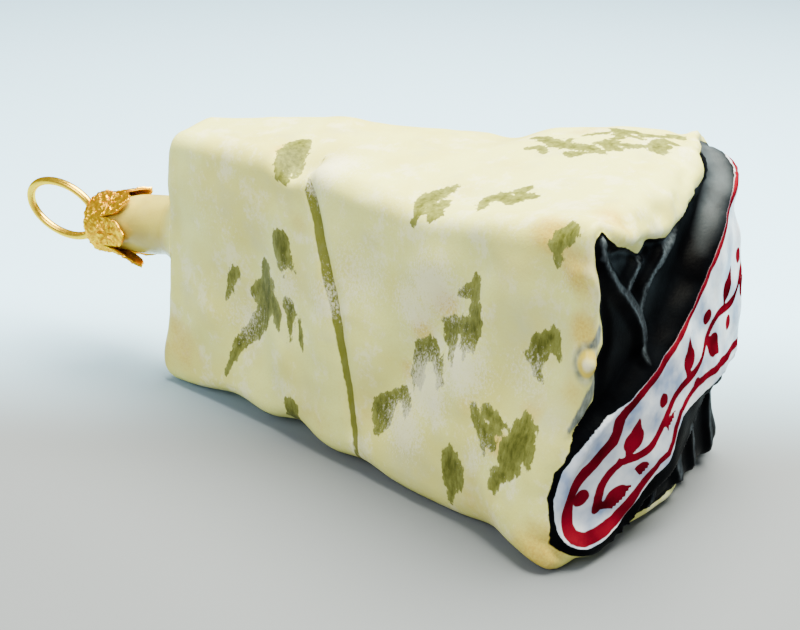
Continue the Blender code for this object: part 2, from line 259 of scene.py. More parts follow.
def neckRound():
    # the neck's circle, with as many points towards each side of the wedge as that side has
    angles = []
    sides = ((0, 70, "sideCells"), (90, 20, "topCells"), (180, 70, "sideCells"), (270, 20, "topCells"))
    for middle, halfSpan, cells in sides:
        steps = wedge[cells] + 2 * wedge["edgeCells"]
        angles += [middle + halfSpan * (2 * k / steps - 1) for k in range(steps)]
    angles = np.radians(angles)
    return wedge["neckRadius"] * np.stack([-np.cos(angles), np.sin(angles)], axis=1)


def thinEndRings(outline):
    # round edge, flat end and fillet, from the wedge's first section in to the neck
    end, radius, fillet = -wedge["length"] / 2, wedge["thinRadius"], wedge["neckFillet"]
    cells = wedge["thinCells"]
    across = neckRound() + (0.0, wedge["neckHeight"]) - outline[:, 1:]
    reach = np.linalg.norm(across, axis=1)
    edge, corner = np.minimum(radius, reach / 2), np.minimum(fillet, reach / 2)
    turns = [math.pi / 2 * k / cells for k in range(1, cells + 1)]
    moves = [(end + radius - radius * math.sin(turn), edge * (1 - math.cos(turn))) for turn in turns]
    moves += [(end, edge + (reach - edge - corner) * k / cells) for k in range(1, cells + 1)]
    moves += [(end - fillet * (1 - math.cos(turn)), reach - corner * (1 - math.sin(turn))) for turn in turns]
    rings = []
    for x, inward in moves:
        ring = outline.copy()
        ring[:, 0] = x
        ring[:, 1:] += across / reach[:, None] * inward[:, None]
        rings.append(ring)
    return rings


def onNeck(along, y, up, tilt=None):
    # a point by its distance from the neck's root, on a plane across the dipping neck
    dip = math.radians(wedge["neckDip"])
    lean = math.radians(wedge["neckDip"] if tilt is None else tilt)
    x = -wedge["length"] / 2 - wedge["neckFillet"] - along * math.cos(dip) - up * math.sin(lean)
    z = wedge["neckHeight"] - along * math.sin(dip) + up * math.cos(lean)
    return np.stack(np.broadcast_arrays(x, y, z), axis=-1)


def neckRings():
    rings = []
    for k in range(1, wedge["neckCells"] + 1):
        along = wedge["neckLength"] * k / wedge["neckCells"]
        taper = smoothStep(along, *(part * wedge["neckLength"] for part in wedge["neckTaper"]))
        size = 1.0 + (wedge["neckTipRadius"] / wedge["neckRadius"] - 1.0) * taper
        y, up = (size * neckRound()).T
        rings.append(onNeck(along, y, up, wedge["neckDip"] * min(1.0, 3 * k / wedge["neckCells"])))
    return rings


def bandEdge(y, z):
    # distance outwards from the edge of the raised band
    return strokeDistance(y, z, (band["middle"],))


def bandPlace(y, z):
    # distance along and across the band's middle
    middle = band["middle"]
    start, best, along, across = 0.0, np.full(len(y), 99.0), np.zeros(len(y)), np.zeros(len(y))
    for a, b in zip(middle, middle[1:]):
        size = math.hypot(b[0] - a[0], b[1] - a[1])
        u = ((y - a[0]) * (b[0] - a[0]) + (z - a[1]) * (b[1] - a[1])) / size
        v = ((z - a[1]) * (b[0] - a[0]) - (y - a[0]) * (b[1] - a[1])) / size
        away = lineDistance(y, z, a[:2], b[:2])[0]
        first, last = a == middle[0], b == middle[-1]
        inside = np.clip(u, -99.0 if first else 0.0, 99.0 if last else size)
        along = np.where(away < best, start + inside, along)
        across = np.where(away < best, v, across)
        best = np.minimum(best, away)
        start += size
    return along, across


def bandRaised(y, z):
    # 1 on the raised band and 0 off it, with a longer slope on its upper side
    low, high = band["shoulder"]
    along, across = bandPlace(y, z)
    wider = smoothStep(across, *band["widerAcross"]) * smoothStep(along, *band["widerAlong"])
    width = low + (high - low) * wider
    return 1.0 - smoothStep(bandEdge(y, z) / width, 0.0, 1.0)


def rindShape(y, z, along):
    z = z * wedge["rindHeight"] / wedge["thinHeight"]
    across = 2.0 * y / wedge["rindWidth"]
    foot = 1.0 - smoothStep(z, *wedge["rindFoot"])
    slant = foot * (wedge["rindToe"] - wedge["cornerCut"] * smoothStep(-across, *wedge["cornerSpan"]))
    slant = slant + sum(swell(y, z, *each) for each in rindSwells)
    up = np.clip(z / wedge["rindHeight"], 0.0, 1.0)
    bulge = wedge["rindBulge"] * (1.0 - across**2) * np.sin(math.pi * up)
    bend, tilt = wedge["lipCurve"]
    ripple, rate = wedge["lipRipple"]
    lipEdge = wedge["rindHeight"] - wedge["lipDrop"] + bend * y * y + tilt * y + ripple * np.sin(rate * y)
    soft = wedge["lipSoftness"]
    inset = (1.0 - smoothStep(z, lipEdge - soft, lipEdge + soft)) * smoothStep(across, *wedge["insetFrom"])
    raised = bandRaised(y, z)
    rise = band["rise"][0] + (band["rise"][1] - band["rise"][0]) * smoothStep(across, -1.0, 1.0)
    relief = (wedge["wrapperInset"] + rise) * raised - wedge["wrapperInset"] * inset
    return slant * along**2 + (bulge + relief) * smoothStep(along, wedge["rindStart"], 1.0)


def handFormed(points):
    # the even wedge given its rise, draft, bulging rind and uneven hand-made faces
    x, y, z = points.T.copy()
    length = wedge["length"]
    along = np.clip(x / length + 0.5, 0.0, 1.0)
    up = z / wedge["thinHeight"]
    body = smoothStep(x, -length / 2 - wedge["neckFillet"], -length / 2 + wedge["thinRadius"])
    width = halfWidth(np.maximum(x, -length / 2))
    front = smoothStep(-y / width, *wedge["frontFrom"]) * body
    top, foot, hollowWidth, hollowDepth = wedge["hollow"]
    relief = sum(swell(x, z, *each) for each in frontSwells)
    relief = relief - hollowDepth * np.exp(-((lineDistance(x, z, top, foot)[0] / hollowWidth) ** 2))
    groove = np.exp(-(((x - seamX(z)) / wedge["seamWidth"]) ** 2)) * smoothStep(z, 0.0, wedge["seamFade"])
    relief = relief - wedge["seamDepth"] * groove
    newY = y - front * relief + (0.5 - up) * wedge["draft"] * body * y / width * along
    lift = sum(swell(x, y, *each) for each in topSwells) + wedge["topTilt"] * y / width
    newZ = z + up * (wedge["rindHeight"] - wedge["thinHeight"]) * along + body * up**3 * lift
    arch = sum(height * np.exp(-(((x - middle) / radius) ** 2)) for middle, radius, height in wedge["arches"])
    nearFront = np.exp(-(((y + width) / wedge["archReach"]) ** 2))
    newZ = newZ + body * (1.0 - np.clip(up, 0.0, 1.0)) ** 4 * nearFront * arch
    middle, radius, reach = wedge["toeSpan"]
    nearThinEnd = body * (1.0 - smoothStep(x, -length / 2, -length / 2 + reach))
    toe = wedge["thinToe"] * np.exp(-(((z - middle) / radius) ** 2)) * nearThinEnd
    return np.stack([x - toe + rindShape(y, z, along), newY, newZ], axis=1)


def sectionPlaces():
    # where the sections stand along the wedge, with three of them on the seam
    first, last = -wedge["length"] / 2 + wedge["thinRadius"], wedge["length"] / 2 - wedge["edgeRadius"]
    middle = (wedge["seamTop"][0] + wedge["seamFoot"][0]) / 2 + wedge["seamBow"]
    before = round(wedge["lengthCells"] * (middle - first) / (last - first))
    edge = [last + wedge["edgeRadius"] * k / wedge["edgeCells"] for k in range(1, wedge["edgeCells"] + 1)]
    step = 0.25 * wedge["seamWidth"]
    left = np.linspace(first, middle - step, before)
    right = np.linspace(middle + step, last, wedge["lengthCells"] - before)
    return [*left, middle, *right, *edge]


def shearedToSeam(ring):
    # a section leaned to follow the seam, the more the nearer it stands
    middle = (wedge["seamTop"][0] + wedge["seamFoot"][0]) / 2 + wedge["seamBow"]
    near = np.exp(-(((ring[:, 0] - middle) / wedge["seamPull"]) ** 2))
    ring[:, 0] = ring[:, 0] + near * (seamX(ring[:, 2]) - middle)
    return ring


def wedgeSkin():
    # points, their places on the sharp wedge, and quads facing out; -1 closes a quad to a triangle
    half = wedge["length"] / 2
    sharp = [shearedToSeam(sectionOutline(x)) for x in sectionPlaces()]
    outlines = [roundedEdges(ring) for ring in sharp]
    thin, neck = thinEndRings(outlines[0]), neckRings()
    rings = [*neck[::-1], *[handFormed(ring) for ring in [*thin[::-1], *outlines]]]
    flats = [*neck[::-1], *thin[::-1], *sharp]
    count, around = len(rings), len(rings[0])
    points, flat = np.concatenate(rings), np.concatenate(flats)
    k = np.arange(around)
    low = (np.arange(count - 1)[:, None] * around + k).ravel()
    nearby = (np.arange(count - 1)[:, None] * around + (k + 1) % around).ravel()
    quads = [np.stack([low + around, nearby + around, nearby, low], axis=1)]

    tip = len(points)
    quads.append(np.stack([(k + 1) % around, np.full(around, tip), k, np.full(around, -1)], axis=1))
    points = np.concatenate([points, rings[0].mean(axis=0)[None]])
    flat = np.concatenate([flat, rings[0].mean(axis=0)[None]])

    width = halfWidth(half)
    ys = spread(-width, width, wedge["edgeRadius"], wedge["topCells"])[1:-1]
    zs = spread(0.0, wedge["thinHeight"], wedge["edgeRadius"], wedge["sideCells"])[1:-1]
    inside = np.array([(half, y, z) for z in zs for y in ys])
    start, columns, rows = len(points), len(ys), len(zs)
    points = np.concatenate([points, handFormed(roundedEdges(inside))])
    flat = np.concatenate([flat, inside])
    last, high, wide = (count - 1) * around, rows + 1, columns + 1
    grid = np.zeros((rows + 2, columns + 2), int)
    grid[0] = last + (-np.arange(wide + 1)) % around
    grid[-1] = last + high + np.arange(wide + 1)
    grid[1:-1, 0] = last + 1 + np.arange(rows)
    grid[1:-1, -1] = last + 2 * high + wide - 1 - np.arange(rows)
    grid[1:-1, 1:-1] = start + np.arange(rows * columns).reshape(rows, columns)
    corners = [grid[:-1, 1:], grid[1:, 1:], grid[1:, :-1], grid[:-1, :-1]]
    quads.append(np.stack(corners, axis=-1).reshape(-1, 4))
    return points, flat, np.concatenate(quads)


def meshFrom(name, points, quads):
    faces = [tuple(quad[:3]) if quad[3] < 0 else tuple(quad) for quad in quads.tolist()]
    mesh = bpy.data.meshes.new(name)
    mesh.from_pydata((points * mm).tolist(), [], faces)
    mesh.validate()
    mesh.shade_smooth()
    return mesh


def storeLayers(mesh, layers):
    for name, values in layers.items():
        layer = mesh.attributes.new(name, "FLOAT", "POINT")
        layer.data.foreach_set("value", np.asarray(values, np.float32))


def vertexNormals(points, quads):
    # smooth normals of the skin, pointing out as its quads face
    last = np.where(quads[:, 3] < 0, quads[:, 2], quads[:, 3])
    face = np.cross(points[quads[:, 2]] - points[quads[:, 0]], points[last] - points[quads[:, 1]])
    normals = np.zeros_like(points)
    for corner in (quads[:, 0], quads[:, 1], quads[:, 2], last):
        np.add.at(normals, corner, face)
    return normals / np.maximum(np.linalg.norm(normals, axis=1, keepdims=True), 1e-9)


# where the paint goes, in millimetres: a brush stroke is a run of (along, up, half width)
# mould marks on the front cut face, as X and Z
mouldStrokes = (
    ((-15.1, 30.8, 1.7), (-14.8, 28.8, 1.6), (-14.3, 27.6, 0.9)),
    ((-15.3, 27.8, 0.7), (-14.6, 25.4, 0.1)),
    ((-13.6, 28.2, 0.6), (-12.2, 26.6, 0.1)),
    ((-25.5, 23.1, 0.8), (-26.3, 21.1, 0.8), (-27.2, 18.4, 0.2)),
    ((-19.1, 25.8, 0.8), (-18.5, 22.9, 1.6), (-18.8, 19.8, 1.6), (-20.0, 17.0, 1.6), (-22.2, 14.0, 1.4),
     (-24.6, 11.5, 1.0), (-27.2, 5.8, 0.2)),
    ((-19.4, 22.6, 1.2), (-21.6, 20.6, 1.0), (-21.4, 19.4, 0.5)),
    ((-17.1, 20.9, 1.0), (-16.3, 18.7, 1.0), (-15.6, 16.5, 0.2)),
    ((-13.7, 21.0, 1.2), (-13.0, 20.0, 0.9), (-13.0, 15.8, 0.1)),
    ((-11.3, 19.8, 0.1), (-10.5, 17.6, 0.4), (-9.7, 15.6, 0.1)),
    ((-12.2, 5.8, 1.4), (-12.0, 3.6, 1.5)),
    ((21.1, 35.7, 0.5), (21.4, 32.5, 0.9), (21.5, 30.0, 1.1), (21.4, 27.6, 0.9), (21.3, 25.6, 0.2)),
    ((20.2, 33.4, 1.1), (18.4, 32.2, 0.2)),
    ((22.1, 30.8, 0.4), (22.7, 28.0, 0.1)),
    ((20.0, 28.9, 0.9), (20.3, 26.1, 0.8), (20.2, 24.1, 0.1)),
    ((18.9, 28.3, 1.1), (17.0, 27.4, 1.3), (16.9, 25.7, 0.9)),
    ((17.8, 26.5, 0.9), (17.9, 22.7, 0.2)),
    ((13.8, 25.2, 0.1), (14.3, 23.3, 1.2), (12.6, 22.6, 1.6), (11.8, 20.6, 1.3), (11.7, 18.3, 1.1),
     (12.9, 16.6, 0.2)),
    ((14.5, 22.6, 1.1), (15.8, 21.3, 0.9), (16.5, 19.9, 0.4), (15.9, 18.4, 0.1)),
    ((10.8, 17.9, 0.7), (11.2, 16.2, 0.1)),
    ((15.9, 22.9, 0.4), (16.9, 21.0, 0.1)),
    ((9.5, 15.2, 0.5), (7.4, 13.7, 0.9), (6.0, 12.0, 1.7), (5.6, 10.2, 1.7), (5.4, 8.3, 0.8)),
    ((9.3, 14.9, 0.8), (10.3, 13.4, 0.8), (10.3, 12.0, 0.3)),
    ((33.6, 32.8, 0.1), (33.5, 30.7, 0.9), (31.8, 29.5, 1.5), (31.0, 27.6, 1.3), (31.3, 26.2, 0.8),
     (32.2, 24.5, 0.1)),
    ((34.1, 29.9, 0.6), (34.5, 28.4, 0.1)),
    ((22.4, 18.3, 0.5), (23.2, 17.0, 0.9), (24.4, 15.7, 1.2), (25.7, 14.7, 0.9), (26.6, 13.6, 0.2)),
    ((24.8, 18.3, 0.9), (26.6, 17.6, 0.8), (28.2, 17.3, 0.1)),
    ((26.0, 16.3, 0.8), (27.9, 16.3, 0.1)),
    ((24.6, 14.3, 0.4), (25.1, 12.2, 0.1)),
    ((31.2, 19.7, 0.7), (30.8, 18.3, 1.2), (32.9, 19.0, 0.1)),
    ((30.8, 16.7, 1.9), (29.6, 14.6, 2.0), (29.2, 12.8, 1.7), (30.6, 12.8, 1.0)),
    ((32.2, 17.3, 1.0), (32.5, 14.0, 0.4)),
    ((28.9, 11.3, 0.9), (27.4, 10.7, 0.9), (27.2, 9.0, 0.8), (27.5, 7.8, 0.1)),
    ((19.2, 11.5, 0.2), (19.4, 9.8, 1.4), (19.7, 8.3, 1.9), (19.8, 6.6, 1.6), (19.7, 4.7, 0.8),
     (19.5, 2.3, 0.1)),
    ((21.4, 7.9, 0.5), (21.3, 5.3, 0.1)),
    ((35.1, 45.2, 1.0), (33.8, 44.3, 1.1), (32.7, 43.2, 0.9)),
    ((33.5, 43.1, 0.9), (33.5, 41.9, 0.6), (33.5, 40.6, 0.1)),
)

# the same on the back face, as X and Z
backStrokes = (
    ((-26.5, 33.0, 0.2), (-25.0, 29.0, 1.2), (-22.0, 25.5, 1.4), (-20.5, 21.0, 0.9), (-21.5, 17.0, 0.2)),
    ((-20.6, 24.0, 0.9), (-17.5, 20.5, 0.7), (-16.6, 16.8, 0.1)),
    ((-5.0, 37.5, 0.2), (-3.6, 34.6, 1.3), (-4.6, 31.0, 0.3)),
    ((3.5, 14.0, 0.2), (6.5, 18.0, 1.5), (9.5, 23.5, 1.7), (11.0, 29.0, 1.2), (10.2, 33.0, 0.2)),
    ((8.0, 19.0, 1.1), (12.5, 18.5, 0.9), (14.6, 15.2, 0.2)),
    ((17.0, 7.0, 0.2), (19.0, 10.0, 1.3), (18.2, 13.6, 0.3)),
    ((24.5, 33.5, 0.3), (26.5, 36.0, 1.5), (29.5, 37.6, 0.3)),
    ((-11.0, 5.5, 0.3), (-9.6, 8.6, 1.2), (-10.6, 11.4, 0.2)),
    ((28.0, 16.5, 0.3), (29.6, 20.6, 1.4), (28.4, 25.0, 0.3)),
)
# and on the top face, as X and Y
topStrokes = (
    ((-16.2, -2.6, 0.5), (-16.2, -4.2, 1.5), (-16.0, -6.4, 1.7), (-15.6, -8.6, 1.1), (-14.6, -10.4, 0.3)),
    ((-15.2, -5.5, 0.8), (-13.6, -8.6, 0.3)),
    ((12.6, -8.6, 0.2), (11.2, -10.8, 0.9), (10.6, -12.9, 1.2), (10.5, -15.6, 0.2)),
    ((12.1, -13.9, 0.6), (12.9, -16.2, 0.1)),
    ((13.2, -13.0, 0.5), (14.1, -15.8, 0.1)),
    ((19.3, -14.6, 0.1), (18.5, -11.0, 0.6), (20.1, -10.0, 0.8), (22.5, -11.4, 0.9), (23.3, -9.9, 0.8),
     (24.9, -10.0, 0.4)),
    ((22.0, -8.7, 0.6), (23.0, -7.6, 0.1)),
    ((15.3, 9.1, 0.3), (17.0, 8.7, 0.8), (20.6, 6.5, 0.8), (22.6, 6.4, 0.6), (25.1, 5.9, 0.8),
     (27.6, 5.0, 0.1)),
    ((20.2, 6.8, 0.4), (20.9, 9.2, 0.1)),
    ((16.3, 4.7, 0.1), (17.9, 5.5, 0.4), (19.2, 3.7, 0.1)),
    ((22.3, 4.0, 0.1), (23.8, 3.9, 0.6), (25.5, 4.9, 0.1)),
    ((22.2, 11.0, 0.1), (23.4, 11.8, 0.5), (24.9, 12.2, 0.1)),
    ((24.5, 14.6, 0.1), (26.8, 12.8, 1.0), (27.8, 13.3, 0.6), (29.5, 13.1, 0.1)),
    ((25.1, 7.9, 0.1), (26.8, 8.6, 1.0), (27.8, 7.1, 0.8), (29.3, 6.6, 0.1)),
    ((27.0, 10.2, 0.4), (28.0, 11.9, 0.2), (30.2, 11.5, 0.1)),
    ((28.2, 8.3, 0.1), (29.9, 8.2, 0.4), (31.5, 9.4, 0.1)),
    ((29.6, 11.7, 0.1), (30.9, 13.5, 0.3), (32.2, 13.4, 0.3), (33.0, 15.8, 0.3), (34.8, 15.7, 0.1)),
    ((32.2, 11.7, 0.2), (33.3, 10.0, 1.1), (34.3, 8.9, 0.5), (34.7, 10.7, 0.1)),
    ((32.8, 11.9, 0.4), (34.3, 12.5, 0.3), (35.4, 12.1, 0.1)),
)

# thin greyer lacquer over the paste, also standing in for painted shade on the front face and thin end: X, Y,
# Z, radius and strength
greyLacquerAndShadeSpots = (
    (31.0, -21.0, 31.0, 7.0, 1.0),
    (37.0, -22.6, 28.0, 4.0, 0.9),
    (33.5, -21.5, 21.0, 6.0, 0.9),
    (27.0, -20.5, 38.0, 5.0, 0.6),
    (22.0, -19.5, 6.0, 6.0, 0.8),
    (12.0, -17.0, 5.0, 6.0, 0.8),
    (2.0, -14.5, 14.0, 6.0, 0.5),
    (-8.0, -12.0, 8.0, 6.0, 0.6),
    (-27.0, -8.0, 22.0, 8.0, 0.4),
    (-41.0, -1.0, 30.0, 7.0, 0.7),
    (-12.5, -11.0, 24.0, 4.0, 0.5),
)
# ochre sprayed beside the marks and towards the rims, in the same way
ochreSpots = (
    (16.5, -17.0, 30.4, 2.8, 1.0),
    (12.2, -16.0, 25.5, 2.6, 1.0),
    (9.4, -15.5, 18.2, 2.2, 1.0),
    (31.9, -20.5, 44.2, 3.4, 1.2),
    (38.0, -16.0, 46.5, 4.0, 0.9),
    (36.6, -22.3, 40.5, 4.0, 1.0),
    (37.4, -22.3, 33.0, 3.6, 0.9),
    (36.8, -22.3, 25.0, 3.6, 0.6),
    (35.5, -24.5, 3.0, 5.0, 1.1),
    (-38.0, -5.8, 7.0, 7.0, 0.8),
    (-38.5, -4.0, 38.0, 5.0, 0.4),
    (21.8, -19.7, 18.2, 2.4, 0.7),
    (27.0, -21.1, 15.0, 2.8, 0.9),
    (-17.3, -6.0, 43.4, 2.8, 0.8),
    (-11.5, -11.0, 34.0, 2.4, 0.7),
    (-16.0, -10.0, 20.0, 3.0, 0.6),
    (31.5, -21.9, 21.0, 3.0, 0.8),
    (22.0, 15.0, 49.0, 8.0, 0.5),
    (26.0, -12.0, 48.5, 5.0, 0.5),
    (2.0, -14.0, 10.0, 5.0, 0.5),
    (-6.0, -13.0, 5.0, 5.0, 0.5),
    (25.0, -22.0, 4.0, 6.0, 0.5),
)
# and white frosting dabbed on
frostSpots = (
    (8.0, 14.5, 27.0, 7.5, 1.0),
    (-20.0, 7.5, 22.0, 6.2, 0.9),
    (25.0, 20.0, 30.0, 7.5, 0.8),
    (18.0, 18.0, 12.0, 6.2, 0.8),
    (-7.6, -8.9, 43.0, 6.2, 1.0),
    (14.5, -17.1, 32.5, 5.8, 1.1),
    (10.6, -16.0, 28.5, 5.0, 1.0),
    (14.0, -16.5, 17.5, 6.2, 1.1),
    (0.5, -14.8, 30.0, 7.5, 0.8),
    (-5.6, -12.7, 25.0, 5.0, 0.8),
    (-14.2, -10.4, 24.2, 4.2, 0.8),
    (20.5, -19.2, 22.5, 5.5, 1.0),
    (10.5, -16.7, 10.5, 5.8, 1.0),
    (24.0, -20.0, 12.0, 4.5, 0.7),
    (-24.0, -8.0, 16.0, 5.8, 0.7),
    (-32.0, -7.0, 30.0, 6.2, 0.5),
    (-27.0, -8.0, 30.0, 6.2, 0.5),
    (30.0, -21.0, 25.0, 5.5, 0.7),
    (34.0, -22.0, 38.5, 3.5, 0.7),
    (5.0, -15.0, 40.0, 6.2, 0.5),
)

# outlines on the unrolled rind, as distance round it from its middle and height: the dark wrapper
wrapperOutline = (
    (-21.2, 48.6), (-23.4, 47.7), (-24.0, 45.1), (-23.3, 42.7), (-22.0, 40.0), (-20.7, 37.0),
    (-19.4, 33.9), (-19.2, 31.4), (-20.3, 29.8), (-20.7, 28.3), (-19.9, 25.4), (-19.5, 23.6),
    (-20.6, 21.7), (-22.4, 20.2), (-23.4, 18.4), (-24.8, 16.8), (-25.6, 14.5), (-25.4, 11.5),
    (-24.8, 8.7), (-24.0, 6.6), (-22.8, 4.6), (-20.8, 2.6), (-18.6, 1.0), (-14.5, 0.5), (-11.5, 1.0),
    (-9.0, 2.2), (-6.0, 2.2), (-3.5, 1.9), (-0.8, 1.8), (1.4, 2.4), (3.8, 1.6), (5.2, 0.6), (7.5, -0.6),
    (10.4, -1.2), (14.0, -0.8), (19.0, -1.3), (24.0, -0.9), (29.0, -0.6), (30.0, 12.0), (28.6, 22.0),
    (29.6, 34.0), (28.4, 44.0), (26.0, 48.6), (22.0, 49.8), (17.5, 49.6), (13.6, 49.0), (12.0, 48.0),
    (11.3, 46.0), (10.6, 44.9), (8.8, 44.6), (6.4, 44.6), (5.2, 43.2), (1.6, 42.8), (-1.8, 41.9),
    (-4.2, 41.3), (-6.6, 42.0), (-8.3, 42.3), (-9.2, 41.5), (-10.6, 41.0), (-12.9, 42.3), (-15.4, 43.4),
    (-18.0, 44.0), (-19.6, 45.0), (-20.6, 46.8),
)
# the white band across it
bandOutline = (
    (27.5, 48.2), (24.0, 47.6), (21.6, 46.2), (20.2, 44.6), (16.3, 42.0), (12.5, 39.5), (8.1, 36.9),
    (4.9, 35.1), (2.5, 33.1), (-0.4, 31.1), (-2.7, 29.8), (-5.3, 28.2), (-7.2, 27.3), (-10.2, 25.5),
    (-12.4, 24.4), (-14.8, 23.1), (-16.3, 22.4), (-18.3, 21.6), (-19.6, 20.6), (-20.8, 19.5),
    (-22.3, 18.2), (-23.9, 16.7), (-24.8, 14.8), (-24.7, 12.2), (-24.2, 9.4), (-23.4, 7.5), (-22.4, 5.7),
    (-21.1, 4.4), (-19.9, 3.4), (-18.2, 2.8), (-16.0, 2.8), (-12.9, 3.8), (-10.2, 7.5), (-8.3, 9.8),
    (-5.9, 11.0), (-4.7, 12.6), (-4.0, 14.9), (-2.8, 16.6), (2.5, 17.5), (7.3, 17.4), (11.9, 17.2),
    (17.0, 17.0), (22.0, 17.4), (27.5, 18.5),
)
# and the red line brushed round the band, with its half widths
redLine = (
    (26.0, 46.6, 0.6), (23.0, 46.0, 0.6), (20.4, 44.0, 0.55), (16.4, 41.4, 0.55), (14.5, 40.2, 0.55),
    (11.2, 38.3, 0.55), (8.3, 36.5, 0.55), (5.1, 34.7, 0.55), (3.1, 33.0, 0.55), (0.2, 30.9, 0.55),
    (-3.1, 28.9, 0.55), (-5.4, 27.6, 0.55), (-8.1, 26.1, 0.6), (-11.1, 24.3, 0.7), (-13.3, 23.0, 0.75),
    (-15.6, 21.6, 0.85), (-16.5, 20.6, 1.0), (-16.4, 18.8, 0.9), (-16.8, 17.2, 1.1), (-18.0, 15.8, 1.2),
    (-19.1, 14.2, 1.2), (-20.3, 12.5, 1.3), (-21.1, 10.6, 1.4), (-21.0, 8.5, 1.3), (-20.5, 5.9, 1.05),
    (-19.7, 4.6, 0.9), (-18.3, 4.0, 0.85), (-16.6, 4.0, 0.85), (-14.9, 4.3, 0.9), (-13.4, 4.9, 0.95),
    (-12.3, 6.0, 0.95), (-11.3, 7.6, 0.8), (-10.1, 9.1, 0.7), (-9.0, 10.5, 0.6), (-7.8, 11.7, 0.5),
    (-5.9, 12.3, 0.5), (-5.0, 13.6, 0.5), (-4.5, 15.5, 0.5), (-3.4, 17.4, 0.5), (-2.1, 18.1, 0.6),
    (0.2, 19.2, 0.55), (2.5, 19.7, 0.55), (6.2, 19.7, 0.6), (10.4, 19.4, 0.75), (15.5, 19.2, 0.75),
    (22.0, 19.4, 0.7), (25.6, 20.8, 0.7), (26.4, 24.0, 0.6), (26.6, 34.0, 0.6), (26.6, 44.0, 0.6),
    (26.0, 46.6, 0.6),
)
# folds of the wrapper, with how far the grey on them spreads to each side: dry-brushed paint, and a painted
# sheen on their crests
foldRidges = (
    ((-21.6, 46.9, 0.7), (-22.1, 43.7, 0.4), (-20.5, 41.8, 0.3), (-17.9, 39.0, 0.3), (-15.2, 36.9, 0.4)),
    ((-15.2, 36.9, 0.4), (-12.6, 34.1, 0.5), (-11.2, 31.7, 0.5), (-9.9, 29.0, 0.5), (-10.6, 26.6, 0.2)),
    ((-10.5, 40.6, 0.3), (-13.0, 39.5, 0.3), (-14.5, 38.4, 0.4), (-15.3, 37.3, 0.3)),
    ((0.5, 42.4, 0.9), (-2.4, 40.6, 0.9), (-5.5, 38.8, 0.5), (-8.2, 37.8, 0.3), (-10.4, 36.4, 0.4),
     (-11.7, 34.0, 0.4)),
    ((-6.4, 2.4, 0.2), (-5.0, 5.0, 0.3), (-4.4, 8.4, 0.1)),
    ((3.6, 4.0, 0.6), (2.6, 8.0, 0.8), (0.8, 13.5, 0.5)),
    ((9.6, 3.2, 0.3), (9.0, 7.0, 0.4), (7.6, 10.0, 0.1)),
    ((17.0, 2.4, 0.2), (16.2, 7.0, 0.4), (16.0, 11.5, 0.1)),
)
# painted sheen along the slope above the band, laid on as a grey stroke
sheenAlongSlope = (
    ((20.5, 48.5, 2.4), (16.4, 44.2, 1.9), (12.1, 40.9, 1.3), (7.5, 38.1, 0.9), (3.7, 35.9, 0.7),
     (-4.5, 30.0, 0.2)),
)
# a dab of paste standing up beside the wrapper
knob = ((-23.6, 29.8, 2.0), (-23.3, 29.8, 2.0))
# and bare grey glass between it and the wrapper
barePatches = (
    ((-20.8, 33.8, 0.6), (-21.4, 32.6, 0.9), (-22.6, 32.4, 0.3)),
    ((-20.8, 27.2, 0.8), (-21.1, 25.2, 1.3), (-22.4, 22.8, 1.0), (-23.8, 20.6, 0.5)),
)


def unrolled(flat):
    # distance round the rind and height above the foot, carried on past the rind's edges
    x, y, z = flat.T
    width, top, tiny = wedge["rindWidth"] / 2, wedge["thinHeight"], 1e-6
    back, side = wedge["length"] / 2 - x, halfWidth(x)
    slack = 0.3  # sections leaning with the seam are a little off the wedge's own width
    onFront, onBack = y <= slack - side, y >= side - slack
    onRind = ~onFront & ~onBack
    onTop, onFoot = (z >= top - tiny) & onRind, (z <= tiny) & onRind
    around = np.where(onBack, width + back, y * width / np.maximum(side, 1.0))
    around = np.where(onFront, -width - back, around)
    height = np.where(onTop, top + back, np.where(onFoot, -back, z)) * wedge["rindHeight"] / top
    return around, height


# soft dents and swellings of the front face: X and Z, radii and height
frontDents = (
    (33.5, 33.0, 4.0, 10.0, -2.34),
    (28.5, 24.0, 4.5, 6.0, -0.9),
    (36.0, 12.0, 5.0, 7.0, 0.9),
    (25.0, 37.0, 5.0, 5.0, 0.72),
    (8.5, 22.0, 4.0, 9.0, -1.08),
    (-6.0, 22.0, 3.0, 14.0, 0.9),
    (2.0, 31.0, 5.0, 7.0, -1.08),
    (16.0, 35.0, 4.0, 4.0, 0.72),
    (12.5, 29.0, 2.4, 7.0, 0.54),
    (-14.0, 14.0, 4.0, 5.0, 0.9),
    (-21.0, 26.0, 4.0, 5.0, -0.9),
    (-30.0, 14.0, 5.0, 6.0, 0.9),
)

# a vine with leaves and dots along the band
motif = {
    "first": -1.5,  # where it starts along the band
    "step": 7.2,
    "leaves": 7,
    "sway": 1.2,
    "vineHalf": 0.65,
    "leaf": ((0.3, 0.4, 0.4), (1.9, 2.1, 1.75), (3.6, 4.7, 0.2)),  # forward, sideways and half width
    "dot": (1.2, -3.2, 1.05),
    "dotLength": 0.3,
}


def motifStrokes():
    first, step, sway = motif["first"], motif["step"], motif["sway"]
    end = first + step * motif["leaves"]
    places = np.linspace(first, end, 8 * motif["leaves"] + 1)
    strokes = [[(a, sway * math.sin(math.pi * (a - first) / step), motif["vineHalf"]) for a in places]]
    for k in range(motif["leaves"]):
        start, side = first + k * step, 1.0 if k % 2 else -1.0
        strokes.append([(start + a, side * b, half) for a, b, half in motif["leaf"]])
        a, b, half = motif["dot"]
        strokes.append([(start + a, side * b, half), (start + a + motif["dotLength"], side * b, half)])
    return strokes


